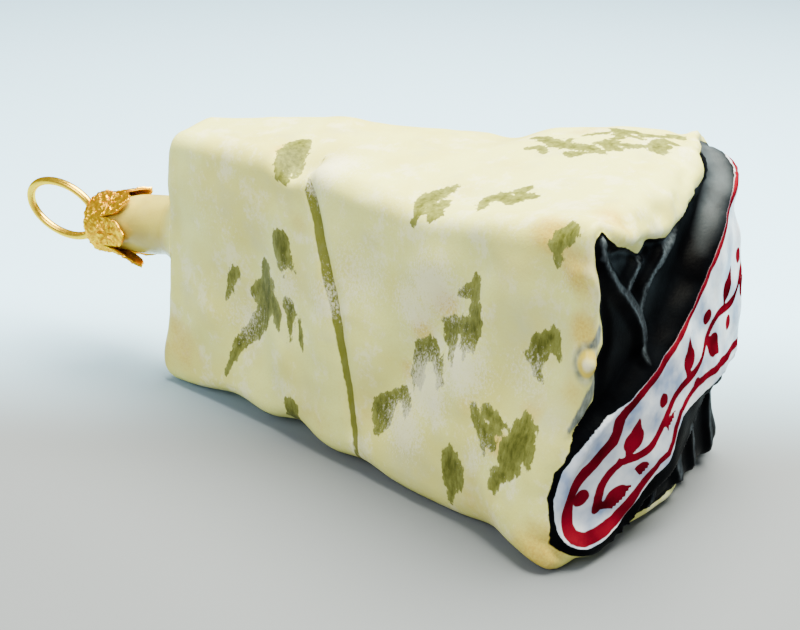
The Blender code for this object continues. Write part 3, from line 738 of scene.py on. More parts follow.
# fine relief of the skin: heights, widths and places in millimetres, negative distances inside the wrapper
fineRelief = {
    "rindFrom": 30.0,  # X from which the skin counts as rind
    "lipHeights": (36.0, 40.0),
    "roll": (0.55, 1.4, 1.2),  # paste rolled up beside the wrapper: height, distance and width
    "rollBelowLip": 0.35,  # the part of that height which it keeps below the lip
    "groove": (0.45, -0.6, 0.8),  # and the groove inside its edge
    "fold": (0.95, 0.4, 0.75),  # a fold's height, flat half width and slope
    "foldFade": 1.5,  # towards the wrapper's edge
    "lipLumps": (0.8, 3.2, 3.0),  # height, grain, and distance and width of their strip
    "bandLumps": (0.35, 4.2),  # height and grain
    "knob": (1.0, -1.9, 0.3),  # height, and where its dome ends and starts
    "glassLumps": (0.3, 8.0, 0.12),  # height and grain all over, and the height of finer ones
    "neckEnd": (-44.0, -40.0),  # the neck itself has none
    "facing": (0.3, 0.8),  # how far a face turns to the front before its dents show
    "underside": (-0.9, -0.4),  # and how far it turns down before it has no relief
}


def addFineRelief(points, flat, normals):
    # rolled lip, wrapper folds and hand-made unevenness, stood out along the skin's own normals
    around, height = unrolled(flat)
    nearRind = flat[:, 0] > fineRelief["rindFrom"]
    edge = np.where(nearRind, loopDistance(around, height, wrapperOutline), 99.0)
    folds = np.where(nearRind, strokeDistance(around, height, foldRidges), 99.0)
    offBand = 1.0 - bandRaised(around, height)
    lip = smoothStep(height, *fineRelief["lipHeights"])

    size, middle, width = fineRelief["roll"]
    below = fineRelief["rollBelowLip"]
    rise = size * np.exp(-(((edge - middle) / width) ** 2)) * offBand * (below + (1.0 - below) * lip)
    size, middle, width = fineRelief["groove"]
    rise -= size * np.exp(-(((edge - middle) / width) ** 2)) * offBand
    size, crest, width = fineRelief["fold"]
    fold = size * np.exp(-((np.maximum(folds, -crest) / width) ** 2))
    rise += fold * (edge < 0) * offBand * smoothStep(-edge, 0.0, fineRelief["foldFade"])

    size, grainSize, middle = fineRelief["lipLumps"]
    lumps = grain(points, grainSize, 1)
    rise += size * lumps * lip * np.exp(-(((edge - middle) / middle) ** 2))
    size, grainSize = fineRelief["bandLumps"]
    rise += size * grain(points, grainSize, 2) * (1.0 - offBand) * nearRind
    size, *dome = fineRelief["knob"]
    knobAway = strokeDistance(around, height, (knob,))
    rise += size * np.where(nearRind, 1.0 - smoothStep(knobAway, *dome), 0.0)
    size, grainSize, fineSize = fineRelief["glassLumps"]
    onSkin = smoothStep(points[:, 0], *fineRelief["neckEnd"])
    rise += (size * grain(points, grainSize, 3) + fineSize * lumps) * onSkin

    onFront = smoothStep(-normals[:, 1], *fineRelief["facing"])
    x, _, z = points.T
    rise += onFront * sum(swell(x, z, *each) for each in frontDents)
    rise *= smoothStep(normals[:, 2], *fineRelief["underside"])  # the underside stays flat
    return points + normals * rise[:, None]


def fitToBox(points, node):
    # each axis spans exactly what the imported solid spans
    low, high = (np.array(corner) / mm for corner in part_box(node))
    ownLow, ownHigh = points.min(axis=0), points.max(axis=0)
    return low + (points - ownLow) * (high - low) / (ownHigh - ownLow)


def spots(points, places):
    total = np.zeros(len(points))
    for x, y, z, radius, strength in places:
        away = np.linalg.norm(points - (x, y, z), axis=1)
        total = np.maximum(total, strength * np.exp(-((away / radius) ** 2)))
    return total


# where each coat may lie: X, heights and distances in millimetres, and how far a face turns each way
painting = {
    "rindFrom": 24.0,
    "bodyFrom": -41.0,
    "neck": (39.6, 43.0),
    "clear": 9.0,  # the distance given to what a coat never reaches
    "sideways": 0.35,
    "topUp": 0.05,
    "topFrom": 37.5,
    "topMarksWider": 0.3,
    "vineInset": 2.2,
    "dustAndSheenInset": 0.2,
    "slopeEdge": (-1.6, 1.4),
    "slopeHeights": (32.0, 44.0),
    "seamHeights": (2.0, 20.0, 36.0, 39.5, 41.5),
    "seamHalves": (0.4, 0.65, 0.9, 0.95, 0.1),  # half widths of its brushed line at those heights
    "seamShift": 0.25,
    "seamSlant": 0.95,  # across the leaning seam, as a part of the distance along X
}


def paintWedge(mesh, points, flat, normals):
    # each coat's edge as a distance in millimetres, negative inside it, or its strength from 0 to 1
    x, y, z = points.T
    around, height = unrolled(flat)
    along, across = bandPlace(around, height)
    clear, sideways = painting["clear"], painting["sideways"]
    nearRind, body = flat[:, 0] > painting["rindFrom"], x > painting["bodyFrom"]
    onFront, onBack = normals[:, 1] < -sideways, normals[:, 1] > sideways
    onTop = (normals[:, 2] > painting["topUp"]) & (z > painting["topFrom"])
    frontMarks = np.where(onFront & body, strokeDistance(x, z, mouldStrokes), clear)
    backMarks = np.where(onBack & body, strokeDistance(x, z, backStrokes), clear)
    topMarks = strokeDistance(x, y, topStrokes) - painting["topMarksWider"]
    topMarks = np.where(onTop & body, topMarks, clear)
    seamHalf = np.interp(z, painting["seamHeights"], painting["seamHalves"])
    seamAway = np.abs(x - seamX(z) + painting["seamShift"]) * painting["seamSlant"] - seamHalf
    # a painted sheen along the slope above the band
    slope = 1.0 - smoothStep(strokeDistance(around, height, sheenAlongSlope), *painting["slopeEdge"])
    slope = slope * smoothStep(height, *painting["slopeHeights"])
    wrapper = loopDistance(around, height, wrapperOutline)
    bandAway = loopDistance(around, height, bandOutline)
    vine, folds = strokeDistance(along, across, motifStrokes()), strokeDistance(around, height, foldRidges)
    onRind = {
        "wrapperEdge": wrapper,
        "bandEdge": bandAway,
        "redLineEdge": np.maximum(strokeDistance(around, height, (redLine,)), bandAway),
        "vineEdge": np.where(bandAway < -painting["vineInset"], vine, clear),
        "dustEdge": np.where(wrapper < -painting["dustAndSheenInset"], folds, clear),
        "knobEdge": strokeDistance(around, height, (knob,)),
        "bareEdge": strokeDistance(around, height, barePatches),
    }
    coats = {name: np.where(nearRind, away, clear) for name, away in onRind.items()}
    coats["slope"] = np.where(nearRind, slope, 0.0)
    coats["mouldEdge"] = np.minimum(np.minimum(frontMarks, backMarks), topMarks)
    coats["seamEdge"] = np.where(onFront & body, seamAway, clear)
    for name, places in (("shade", greyLacquerAndShadeSpots), ("ochre", ochreSpots), ("frost", frostSpots)):
        coats[name] = spots(points, places)
    coats["neckShare"] = smoothStep(-x, *painting["neck"])
    storeLayers(mesh, coats)


def makeWedge(material):
    points, flat, quads = wedgeSkin()
    relieved = addFineRelief(points, flat, vertexNormals(points, quads))
    points = fitToBox(relieved, "glass_wedge")
    mesh = meshFrom("paintedGlassWedge", points, quads)
    paintWedge(mesh, points, flat, vertexNormals(points, quads))
    mesh.materials.append(material)
    piece = bpy.data.objects.new("paintedGlassWedge", mesh)
    bpy.context.scene.collection.objects.link(piece)
    print("wedge:", len(points), "points,", len(quads), "faces")
    return piece


# the lacquers, by what they paint
lacquer = {
    "paste": "#dfe182",
    # darker and greyer paste tones, also used for the painted shade on the front face
    "pasteShade": "#d0c657",
    "pasteGrey": "#bfbf92",
    "ochre": "#c49c28",
    "ochrePale": "#d4bb42",
    "knob": "#d0b93e",
    "bare": "#4c5556",
    "barePale": "#868f88",
    "mould": "#64672a",
    "mouldPale": "#828543",
    "mouldDark": "#3d400d",
    "seam": "#5e6112",
    "frost": "#efebc8",
    "black": "#020203",
    # grey for dry brushing, also used for the painted sheen on the wrapper
    "blackPale": "#07090c",
    "dust": "#5a646c",
    "dustDark": "#23282e",
    "white": "#e3e8ee",
    "whiteShade": "#7f93b8",
    "red": "#780f20",
    "redDark": "#440710",
    "neck": "#c4b348",
    "neckShade": "#ab9635",
}

# noises that vary the paint: size in millimetres, detail, roughness and stretch upwards
paintNoises = {
    "wobble": (1.6, 2.0, 0.5, 1.0),
    "ragged": (0.9, 4.0, 0.65, 2.0),
    "streak": (0.7, 3.0, 0.6, 3.0),
    "fleck": (0.34, 4.0, 0.75, 1.5),
    "veil": (5.0, 8.0, 0.78, 1.2),
    "fine": (0.35, 2.0, 0.6, 1.0),
    "patch": (5.0, 3.0, 0.5, 1.0),
    "cloud": (14.0, 3.0, 0.5, 1.0),
}

# coats in the order they go on: attribute, noise at its edge and by how much, where the coat starts and is
# full, its strongest share, its two colours and the noise mixing them, its roughness, shine and thickness
paintCoats = (
    # painted shade, together with the greyer lacquer, from the spots above
    ("shade", "cloud", 0.8, (0.2, 1.2), 0.8, ("pasteGrey", "pasteShade"), "patch", 0.42, 0.45, 0.0),
    ("ochre", "patch", 1.0, (0.25, 1.1), 0.9, ("ochrePale", "ochre"), "fine", 0.42, 0.5, 0.0),
    ("bareEdge", "ragged", 1.2, (0.5, -0.2), 0.95, ("bare", "barePale"), "streak", 0.3, 0.1, 0.0),
    ("knobEdge", "wobble", 0.5, (1.5, 0.3), 0.8, ("pasteGrey", "bare"), "wobble", 0.3, 0.2, 0.0),
    ("knobEdge", "wobble", 0.4, (0.3, -0.4), 1.0, ("ochrePale", "knob"), "wobble", 0.3, 0.3, 0.2),
    ("knobEdge", "wobble", 0.4, (-0.7, -1.6), 0.7, ("frost", "paste"), "wobble", 0.3, 0.4, 0.0),
    ("mouldEdge", "ragged", 2.2, (0.25, 0.05), 1.0, ("mould", "mouldPale"), "streak", 0.45, 0.08, 0.35),
    ("mouldEdge", "ragged", 3.0, (0.0, -1.2), 0.8, ("mouldDark", "mould"), "streak", 0.45, 0.08, 0.1),
    ("seamEdge", "wobble", 0.5, (0.1, -0.1), 0.95, ("seam", "mould"), "streak", 0.45, 0.08, 0.1),
    ("frost", "fleck", 2.2, (0.45, 1.0), 0.6, ("frost", "frost"), "fine", 0.7, 0.5, 0.5),
    ("neckShare", "fine", 0.0, (0.0, 1.0), 0.9, ("neck", "neckShade"), "patch", 0.25, 0.5, 0.0),
    ("wrapperEdge", "wobble", 0.5, (0.07, -0.07), 1.0, ("black", "blackPale"), "patch", 0.4, 0.01, 0.3),
    # grey on the wrapper's folds: dry-brushed paint and a painted sheen on the crests
    ("dustEdge", "wobble", 0.6, (0.3, -0.6), 0.75, ("dust", "dustDark"), "streak", 0.5, 0.05, 0.0),
    # painted sheen along the slope above the band
    ("slope", "patch", 0.4, (0.1, 1.0), 0.6, ("dust", "dustDark"), "patch", 0.4, 0.1, 0.0),
    ("bandEdge", "wobble", 0.3, (0.06, -0.06), 1.0, ("white", "whiteShade"), "patch", 0.25, 0.2, 0.2),
    ("redLineEdge", "wobble", 0.3, (0.07, -0.07), 1.0, ("red", "redDark"), "patch", 0.3, 0.0, 0.3),
    ("vineEdge", "wobble", 0.3, (0.07, -0.07), 1.0, ("red", "redDark"), "patch", 0.3, 0.0, 0.3),
)

# the bare paste's variation: a noise, from and to which of its values, and the largest share of which lacquer
pasteLayers = (
    ("cloud", 0.42, 0.66, 0.55, "pasteShade"),
    ("patch", 0.5, 0.75, 0.35, "pasteGrey"),
    ("fine", 0.4, 0.8, 0.25, "pasteShade"),
    ("veil", 0.5, 0.62, 0.5, "frost"),
)

# and how glass with its lacquer takes the light
glaze = {
    "rough": 0.42,
    "shine": 0.3,
    "ior": 1.5,
    "toneBlend": (0.35, 0.68),
    "relief": 0.3,
    "reliefDepth": 0.12,
}


def newMaterial(name):
    material = bpy.data.materials.new(name)
    material.use_nodes = True
    material.node_tree.nodes.clear()
    return material, material.node_tree


def lacqueredGlass():
    # hand-painted lacquer on blown glass: satin cream paste, brushed marks, powdery frosting, glossy wrapper
    material, tree = newMaterial("handPaintedLacquer")
    place = addNode(tree, "ShaderNodeTexCoord")["Object"]
    noises = {}
    for name, (size, detail, rough, tall) in paintNoises.items():
        scale = 1.0 / (size * mm)
        at = addNode(tree, "ShaderNodeMapping", Vector=place, Scale=(scale, scale, scale / tall))[0]
        pattern = addNode(tree, "ShaderNodeTexNoise", Vector=at, Scale=1.0, Detail=detail, Roughness=rough)
        noises[name] = pattern["Fac"]

    # the paste under it all: cream with broad warm clouds and greyer patches
    colour = linearColour(lacquer["paste"])
    for name, low, high, share, tone in pasteLayers:
        mask = addNode(tree, "ShaderNodeMapRange", smooth, in0=noises[name], in1=low, in2=high, in4=share)[0]
        layer = linearColour(lacquer[tone])
        colour = addNode(tree, "ShaderNodeMix", colourMix, in0=mask, in6=colour, in7=layer)[2]

    rough, shine, height = glaze["rough"], glaze["shine"], noises["fine"]
    low, high = glaze["toneBlend"]
    for attribute, edgeNoise, reach, (start, full), strongest, tones, toneNoise, *finish in paintCoats:
        coatRough, coatShine, thickness = finish
        start, full = start + reach / 2, full + reach / 2
        layer = addNode(tree, "ShaderNodeAttribute", {"attribute_name": attribute})["Fac"]
        edge = addNode(tree, "ShaderNodeMath", timesPlus, in0=noises[edgeNoise], in1=reach, in2=layer)[0]
        share = addNode(tree, "ShaderNodeMapRange", smooth, in0=edge, in1=start, in2=full, in4=strongest)[0]
        blend = addNode(tree, "ShaderNodeMapRange", in0=noises[toneNoise], in1=low, in2=high)[0]
        first, second = (linearColour(lacquer[tone]) for tone in tones)
        coat = addNode(tree, "ShaderNodeMix", colourMix, in0=blend, in6=first, in7=second)[2]
        colour = addNode(tree, "ShaderNodeMix", colourMix, in0=share, in6=colour, in7=coat)[2]
        rough = addNode(tree, "ShaderNodeMix", plainMix, in0=share, in2=rough, in3=coatRough)[0]
        shine = addNode(tree, "ShaderNodeMix", plainMix, in0=share, in2=shine, in3=coatShine)[0]
        height = addNode(tree, "ShaderNodeMath", timesPlus, in0=share, in1=thickness, in2=height)[0]
    relief, depth = glaze["relief"], glaze["reliefDepth"] * mm
    bump = addNode(tree, "ShaderNodeBump", Height=height, Strength=relief, Distance=depth)[0]
    shader = addNode(
        tree,
        "ShaderNodeBsdfPrincipled",
        Base_Color=colour,
        Roughness=rough,
        Normal=bump,
        IOR=glaze["ior"],
        Specular_IOR_Level=shine,
    )
    addNode(tree, "ShaderNodeOutputMaterial", Surface=shader[0])
    return material


# the two metals: colours, the one seen at a glancing angle, grain in millimetres, roughness and relief
gilding = {
    "raised": "#ffc810",
    "sunk": "#d6970c",
    "glancing": "#ffcf3c",
    "grain": 0.7,
    "rough": (0.24, 0.4),
    "relief": 0.4,
    "reliefDepth": 0.1,
}
brass = {
    "drawn": "#f4c52c",
    "glancing": "#ffd75a",
    "grain": 0.6,
    "rough": (0.2, 0.34),
}


def gildedSheet():
    # thin stamped sheet with a warm yellow gilding: bright soft metal, browner in its dents
    material, tree = newMaterial("stampedGildedSheet")
    place = addNode(tree, "ShaderNodeTexCoord")["Object"]
    scale = 1.0 / (gilding["grain"] * mm)
    fine = addNode(tree, "ShaderNodeTexNoise", Vector=place, Scale=scale, Detail=3.0, Roughness=0.6)["Fac"]
    tone = addNode(tree, "ShaderNodeMapRange", in0=fine, in1=0.4, in2=0.7)[0]
    raised, sunk = linearColour(gilding["raised"]), linearColour(gilding["sunk"])
    colour = addNode(tree, "ShaderNodeMix", colourMix, in0=tone, in6=raised, in7=sunk)[2]
    low, high = gilding["rough"]
    rough = addNode(tree, "ShaderNodeMapRange", in0=fine, in1=0.3, in2=0.7, in3=low, in4=high)[0]
    relief, depth = gilding["relief"], gilding["reliefDepth"] * mm
    bump = addNode(tree, "ShaderNodeBump", Height=fine, Strength=relief, Distance=depth)[0]
    shader = addNode(
        tree,
        "ShaderNodeBsdfPrincipled",
        Base_Color=colour,
        Specular_Tint=linearColour(gilding["glancing"]),
        Metallic=1.0,
        Roughness=rough,
        Normal=bump,
    )
    addNode(tree, "ShaderNodeOutputMaterial", Surface=shader[0])
    return material


def brassWire():
    # bright drawn brass: a clear yellow metal with a faint grain
    material, tree = newMaterial("brightDrawnBrass")
    place = addNode(tree, "ShaderNodeTexCoord")["Object"]
    scale = 1.0 / (brass["grain"] * mm)
    fine = addNode(tree, "ShaderNodeTexNoise", Vector=place, Scale=scale, Detail=2.0)["Fac"]
    low, high = brass["rough"]
    rough = addNode(tree, "ShaderNodeMapRange", in0=fine, in1=0.3, in2=0.7, in3=low, in4=high)[0]
    shader = addNode(
        tree,
        "ShaderNodeBsdfPrincipled",
        Base_Color=linearColour(brass["drawn"]),
        Specular_Tint=linearColour(brass["glancing"]),
        Metallic=1.0,
        Roughness=rough,
    )
    addNode(tree, "ShaderNodeOutputMaterial", Surface=shader[0])
    return material


# crown cap: a cup and six leaves of stamped sheet, embossed by Geometry Nodes, in millimetres and degrees
crownCap = {
    "gap": 0.3,
    "sheet": 0.4,
    "top": -1.2,  # the cup's top, from the neck's tip
    "depth": 3.4,
    # the cup's rounded top, as (part of its radius, drop from the top)
    "dome": (
        (0.2, 0.0), (0.42, 0.0), (0.62, 0.05), (0.76, 0.15),
        (0.86, 0.3), (0.93, 0.5), (0.98, 0.8), (1.0, 1.2),
    ),
    "leaves": 6,
    "leafLength": 6.6,
    "leafTaper": 0.34,
    "leafPoint": 9,  # the higher this power, the squarer the leaf
    "leafLift": 0.7,
    "leafCurl": 1.3,
    "leafFlares": (0.2, 0.3, 1.6, 1.1, 0.4, 0.3),
    "leafTurn": 35.0,
    "turns": 288,
    "cupCells": 10,
    "leafCells": 36,
    "starCentre": 1.9,  # along the leaf from the cup's rim
    "starReach": 2.3,
    "starFull": 0.85,  # the part of its reach over which it has its full depth
    "spokes": 8,
    "spokeHalf": 0.2,
    "spokeDepth": 0.38,
    "pebbleHeight": 0.18,
    "pebbleSize": 0.9,
    "pebbleDip": -0.25,  # between pebbles, as a part of their height
    "beadRadius": 0.17,
    "beadFlattening": 0.6,
    "beadsPerSquareMm": 0.7,
    "seed": 7,
}


def leafShape(angle):
    # how far the leaves reach and flare at an angle round the neck
    turns = (angle - crownCap["leafTurn"]) * crownCap["leaves"] / 360.0
    across = abs((turns + 0.5) % 1.0 - 0.5) * 2.0
    shape = (1.0 - crownCap["leafTaper"] * across) * (1.0 - across ** crownCap["leafPoint"])
    flare = crownCap["leafFlares"][math.floor(turns + 0.5) % crownCap["leaves"]]
    return crownCap["leafLength"] * shape, crownCap["leafLift"] + flare


def capSheet():
    # outer and inner skin, joined round the leaves' rims, with each point's place on its leaf
    turns, radius = crownCap["turns"], wedge["neckTipRadius"] + crownCap["gap"] + crownCap["sheet"]
    angles = 2 * math.pi * np.arange(turns) / turns
    shapes = np.array([leafShape(math.degrees(a)) for a in angles])
    share = (np.degrees(angles) - crownCap["leafTurn"]) * crownCap["leaves"] / 360.0
    offset = ((share + 0.5) % 1.0 - 0.5) * 2 * math.pi / crownCap["leaves"]
    rim, drop, cells = crownCap["top"] + crownCap["depth"], crownCap["dome"][-1][1], crownCap["cupCells"]
    points, places, quads, edges, start, k = [], [], [], [], 0, np.arange(turns)
    for thickness in (0.0, crownCap["sheet"]):
        own, top = radius - thickness, crownCap["top"] + thickness
        rings = [(np.full(turns, top + down), np.full(turns, part * own)) for part, down in crownCap["dome"]]
        for step in range(1, cells + 1):
            down = drop + (rim - top - drop) * step / cells
            rings.append((np.full(turns, top + down), np.full(turns, own)))
        for step in range(1, crownCap["leafCells"] + 1):
            reach = shapes[:, 0] * step / crownCap["leafCells"]
            curl = (reach / crownCap["leafLength"]) ** crownCap["leafCurl"]
            rings.append((rim + reach, own + shapes[:, 1] * curl))
        for x, r in rings:
            points.append(onNeck(wedge["neckLength"] - x, -r * np.sin(angles), r * np.cos(angles)))
            places.append(np.stack([offset * own, x - rim], axis=1))
        points.append(onNeck(wedge["neckLength"] - top, 0.0, 0.0)[None])
        places.append(np.array([[0.0, top - rim]]))
        count = len(rings)
        low = (np.arange(count - 1)[:, None] * turns + k).ravel() + start
        nearby = (np.arange(count - 1)[:, None] * turns + (k + 1) % turns).ravel() + start
        grid = np.stack([low, nearby, nearby + turns, low + turns], axis=1)
        fan = np.stack([start + (k + 1) % turns, start + k, np.full(turns, start + count * turns)], axis=1)
        if thickness:
            grid, fan = grid[:, ::-1], fan[:, ::-1]
        quads += [grid, np.concatenate([fan, np.full((turns, 1), -1)], axis=1)]
        edges.append(start + (count - 1) * turns)
        start += count * turns + 1
    outer, inner = edges
    quads.append(np.stack([outer + k, outer + (k + 1) % turns, inner + (k + 1) % turns, inner + k], axis=1))
    return np.concatenate(points), np.concatenate(places), np.concatenate(quads)


def inputSocket(tree, name, kind, value=None):
    socket = tree.interface.new_socket(name=name, in_out="INPUT", socket_type=kind)
    if value is not None:
        socket.default_value = value
    return socket.identifier


def runTree(name, mesh, tree, values):
    # the evaluated result of the tree on a mesh, as a plain mesh object
    holder = bpy.data.objects.new(name, mesh)
    bpy.context.scene.collection.objects.link(holder)
    modifier = holder.modifiers.new("shape", "NODES")
    modifier.node_group = tree
    for identifier, value in values.items():
        modifier[identifier] = value
    bpy.context.view_layer.update()
    evaluated = holder.evaluated_get(bpy.context.evaluated_depsgraph_get())
    result = bpy.data.meshes.new_from_object(evaluated)
    holder.modifiers.clear()
    holder.data = result
    result.name = name
    return holder


def embossTree():
    # a spoked star and pebbles pressed into each leaf, and fine beads over the outer skin
    tree = bpy.data.node_groups.new("stampedSheet", "GeometryNodeTree")
    inputSocket(tree, "Sheet", "NodeSocketGeometry")
    for label, key in (
        ("Star Centre", "starCentre"),
        ("Star Reach", "starReach"),
        ("Spoke Half Width", "spokeHalf"),
        ("Spoke Depth", "spokeDepth"),
        ("Pebble Height", "pebbleHeight"),
        ("Pebble Size", "pebbleSize"),
        ("Bead Radius", "beadRadius"),
    ):
        inputSocket(tree, label, "NodeSocketFloat", crownCap[key] * mm)
    inputSocket(tree, "Spokes", "NodeSocketFloat", crownCap["spokes"])
    inputSocket(tree, "Bead Density", "NodeSocketFloat", crownCap["beadsPerSquareMm"] / mm**2)
    inputSocket(tree, "Seed", "NodeSocketInt", crownCap["seed"])
    finishId = inputSocket(tree, "Finish", "NodeSocketMaterial")
    tree.interface.new_socket(name="Geometry", in_out="OUTPUT", socket_type="NodeSocketGeometry")
    given = addNode(tree, "NodeGroupInput")
    outer, across, along = (
        addNode(tree, "GeometryNodeInputNamedAttribute", {"data_type": "FLOAT"}, Name=name)[0]
        for name in ("outerSkin", "leafAcross", "leafAlong")
    )

    # distance from the star's centre and from its nearest spoke
    centre, reach, spoke = given["Star Centre"], given["Star Reach"], given["Spoke Half Width"]
    beyond = addNode(tree, "ShaderNodeMath", {"operation": "SUBTRACT"}, in0=along, in1=centre)[0]
    flat = addNode(tree, "ShaderNodeCombineXYZ", X=across, Y=beyond)[0]
    away = addNode(tree, "ShaderNodeVectorMath", {"operation": "LENGTH"}, in0=flat)["Value"]
    angle = addNode(tree, "ShaderNodeMath", {"operation": "ARCTAN2"}, in0=across, in1=beyond)[0]
    half = addNode(tree, "ShaderNodeMath", times, in0=given["Spokes"], in1=0.5)[0]
    turned = addNode(tree, "ShaderNodeMath", times, in0=angle, in1=half)[0]
    wave = addNode(tree, "ShaderNodeMath", {"operation": "SINE"}, in0=turned)[0]
    beside = addNode(tree, "ShaderNodeMath", {"operation": "ABSOLUTE"}, in0=wave)[0]
    arc = addNode(tree, "ShaderNodeMath", {"operation": "DIVIDE"}, in0=away, in1=half)[0]
    spokeAway = addNode(tree, "ShaderNodeMath", times, in0=beside, in1=arc)[0]
    groove = addNode(tree, "ShaderNodeMapRange", smooth, in0=spokeAway, in1=spoke, in2=0.0)[0]
    full = addNode(tree, "ShaderNodeMath", times, in0=reach, in1=crownCap["starFull"])[0]
    within = addNode(tree, "ShaderNodeMapRange", smooth, in0=away, in1=reach, in2=full)[0]
    star = addNode(tree, "ShaderNodeMath", times, in0=groove, in1=within)[0]
    sunk = addNode(tree, "ShaderNodeMath", times, in0=star, in1=given["Spoke Depth"])[0]

    # pebbles raised over the rest
    place = addNode(tree, "GeometryNodeInputPosition")[0]
    perSize = addNode(tree, "ShaderNodeMath", {"operation": "DIVIDE"}, in0=1.0, in1=given["Pebble Size"])[0]
    cells = addNode(tree, "ShaderNodeVectorMath", {"operation": "SCALE"}, in0=place, Scale=perSize)[0]
    soft = {"feature": "SMOOTH_F1"}
    dents = addNode(tree, "ShaderNodeTexVoronoi", soft, Vector=cells, Scale=1.0, Smoothness=0.25)["Distance"]
    dip = crownCap["pebbleDip"]
    pebble = addNode(tree, "ShaderNodeMapRange", smooth, in0=dents, in1=0.75, in2=0.1, in3=dip, in4=1.0)[0]
    lifted = addNode(tree, "ShaderNodeMath", times, in0=pebble, in1=given["Pebble Height"])[0]
    lift = addNode(tree, "ShaderNodeMath", {"operation": "SUBTRACT"}, in0=lifted, in1=sunk)[0]
    lift = addNode(tree, "ShaderNodeMath", times, in0=lift, in1=outer)[0]
    normal = addNode(tree, "GeometryNodeInputNormal")[0]
    move = addNode(tree, "ShaderNodeVectorMath", {"operation": "SCALE"}, in0=normal, Scale=lift)[0]
    sheet = addNode(tree, "GeometryNodeSetPosition", Geometry=given["Sheet"], Offset=move)[0]

    # beads
    above = {"data_type": "FLOAT", "operation": "GREATER_THAN"}
    facing = addNode(tree, "FunctionNodeCompare", above, in0=outer, in1=0.9)[0]
    scatter = addNode(
        tree,
        "GeometryNodeDistributePointsOnFaces",
        Mesh=sheet,
        Selection=facing,
        Density=given["Bead Density"],
        Seed=given["Seed"],
    )
    ball = addNode(tree, "GeometryNodeMeshIcoSphere", Radius=given["Bead Radius"], Subdivisions=2)["Mesh"]
    beads = addNode(
        tree,
        "GeometryNodeInstanceOnPoints",
        Points=scatter["Points"],
        Instance=ball,
        Rotation=scatter["Rotation"],
        Scale=(1.0, 1.0, crownCap["beadFlattening"]),
    )[0]
    joined = addNode(tree, "GeometryNodeJoinGeometry", in0=[beads, sheet])[0]
    real = addNode(tree, "GeometryNodeRealizeInstances", Geometry=joined)[0]
    shaded = addNode(tree, "GeometryNodeSetShadeSmooth", Geometry=real)[0]
    done = addNode(tree, "GeometryNodeSetMaterial", Geometry=shaded, Material=given["Finish"])[0]
    addNode(tree, "NodeGroupOutput", in0=done)
    return tree, finishId


def makeCap(material):
    points, places, quads = capSheet()
    mesh = meshFrom("stampedCap", points, quads)
    outer = np.arange(len(points)) < len(points) // 2
    storeLayers(mesh, {"outerSkin": outer, "leafAcross": places[:, 0] * mm, "leafAlong": places[:, 1] * mm})
    tree, finishId = embossTree()
    piece = runTree("embossedCap", mesh, tree, {finishId: material})
    print("cap:", len(piece.data.polygons), "faces")
    return piece


# wire hanger: a round wire drawn along its bent path by Geometry Nodes, in millimetres and degrees
hanger = {
    "wireRadius": 0.68,
    "length": 13.9,
    "width": 9.9,
    "reach": 7.9,  # from the cap's top to the loop's middle
    "lean": 15.0,  # in the loop's own plane
    "turn": 12.0,  # of that plane round the neck
    "legAngle": 34.0,  # where the oval ends and its legs start
    "legSpread": 0.9,
    "pathSteps": 60,
    "steps": 120,
    "sides": 16,
}


def hangerPath():
    leg, lean, turn = (math.radians(hanger[key]) for key in ("legAngle", "lean", "turn"))
    turns = np.linspace(leg, 2 * math.pi - leg, hanger["pathSteps"])
    along = hanger["length"] / 2 * np.cos(turns) - hanger["reach"]
    across = hanger["width"] / 2 * np.sin(turns)
    top = crownCap["top"]
    x = top + along * math.cos(lean) + across * math.sin(lean)
    sideways = across * math.cos(lean) - along * math.sin(lean)
    end = top - crownCap["gap"] - hanger["wireRadius"]
    x = np.concatenate([[end], x, [end]])
    sideways = np.concatenate([[hanger["legSpread"]], sideways, [-hanger["legSpread"]]])
    return onNeck(wedge["neckLength"] - x, -sideways * math.sin(turn), sideways * math.cos(turn))


def wireTree():
    tree = bpy.data.node_groups.new("bentWire", "GeometryNodeTree")
    inputSocket(tree, "Path", "NodeSocketGeometry")
    inputSocket(tree, "Wire Radius", "NodeSocketFloat", hanger["wireRadius"] * mm)
    inputSocket(tree, "Steps", "NodeSocketInt", hanger["steps"])
    inputSocket(tree, "Sides", "NodeSocketInt", hanger["sides"])
    finishId = inputSocket(tree, "Finish", "NodeSocketMaterial")
    tree.interface.new_socket(name="Geometry", in_out="OUTPUT", socket_type="NodeSocketGeometry")
    given = addNode(tree, "NodeGroupInput")
    path = addNode(tree, "GeometryNodeMeshToCurve", Mesh=given["Path"])[0]
    even = addNode(tree, "GeometryNodeResampleCurve", Curve=path, Count=given["Steps"])[0]
    sides, radius = given["Sides"], given["Wire Radius"]
    circle = addNode(tree, "GeometryNodeCurvePrimitiveCircle", Resolution=sides, Radius=radius)["Curve"]
    wire = addNode(tree, "GeometryNodeCurveToMesh", Curve=even, Profile_Curve=circle, Fill_Caps=True)[0]
    shaded = addNode(tree, "GeometryNodeSetShadeSmooth", Geometry=wire)[0]
    real = addNode(tree, "GeometryNodeRealizeInstances", Geometry=shaded)[0]
    done = addNode(tree, "GeometryNodeSetMaterial", Geometry=real, Material=given["Finish"])[0]
    addNode(tree, "NodeGroupOutput", in0=done)
    return tree, finishId


def makeHanger(material):
    path = hangerPath()
    mesh = bpy.data.meshes.new("hangerPath")
    mesh.from_pydata((path * mm).tolist(), [(k, k + 1) for k in range(len(path) - 1)], [])
    tree, finishId = wireTree()
    piece = runTree("bentWireHanger", mesh, tree, {finishId: material})
    print("hanger:", len(piece.data.polygons), "faces")
    return piece


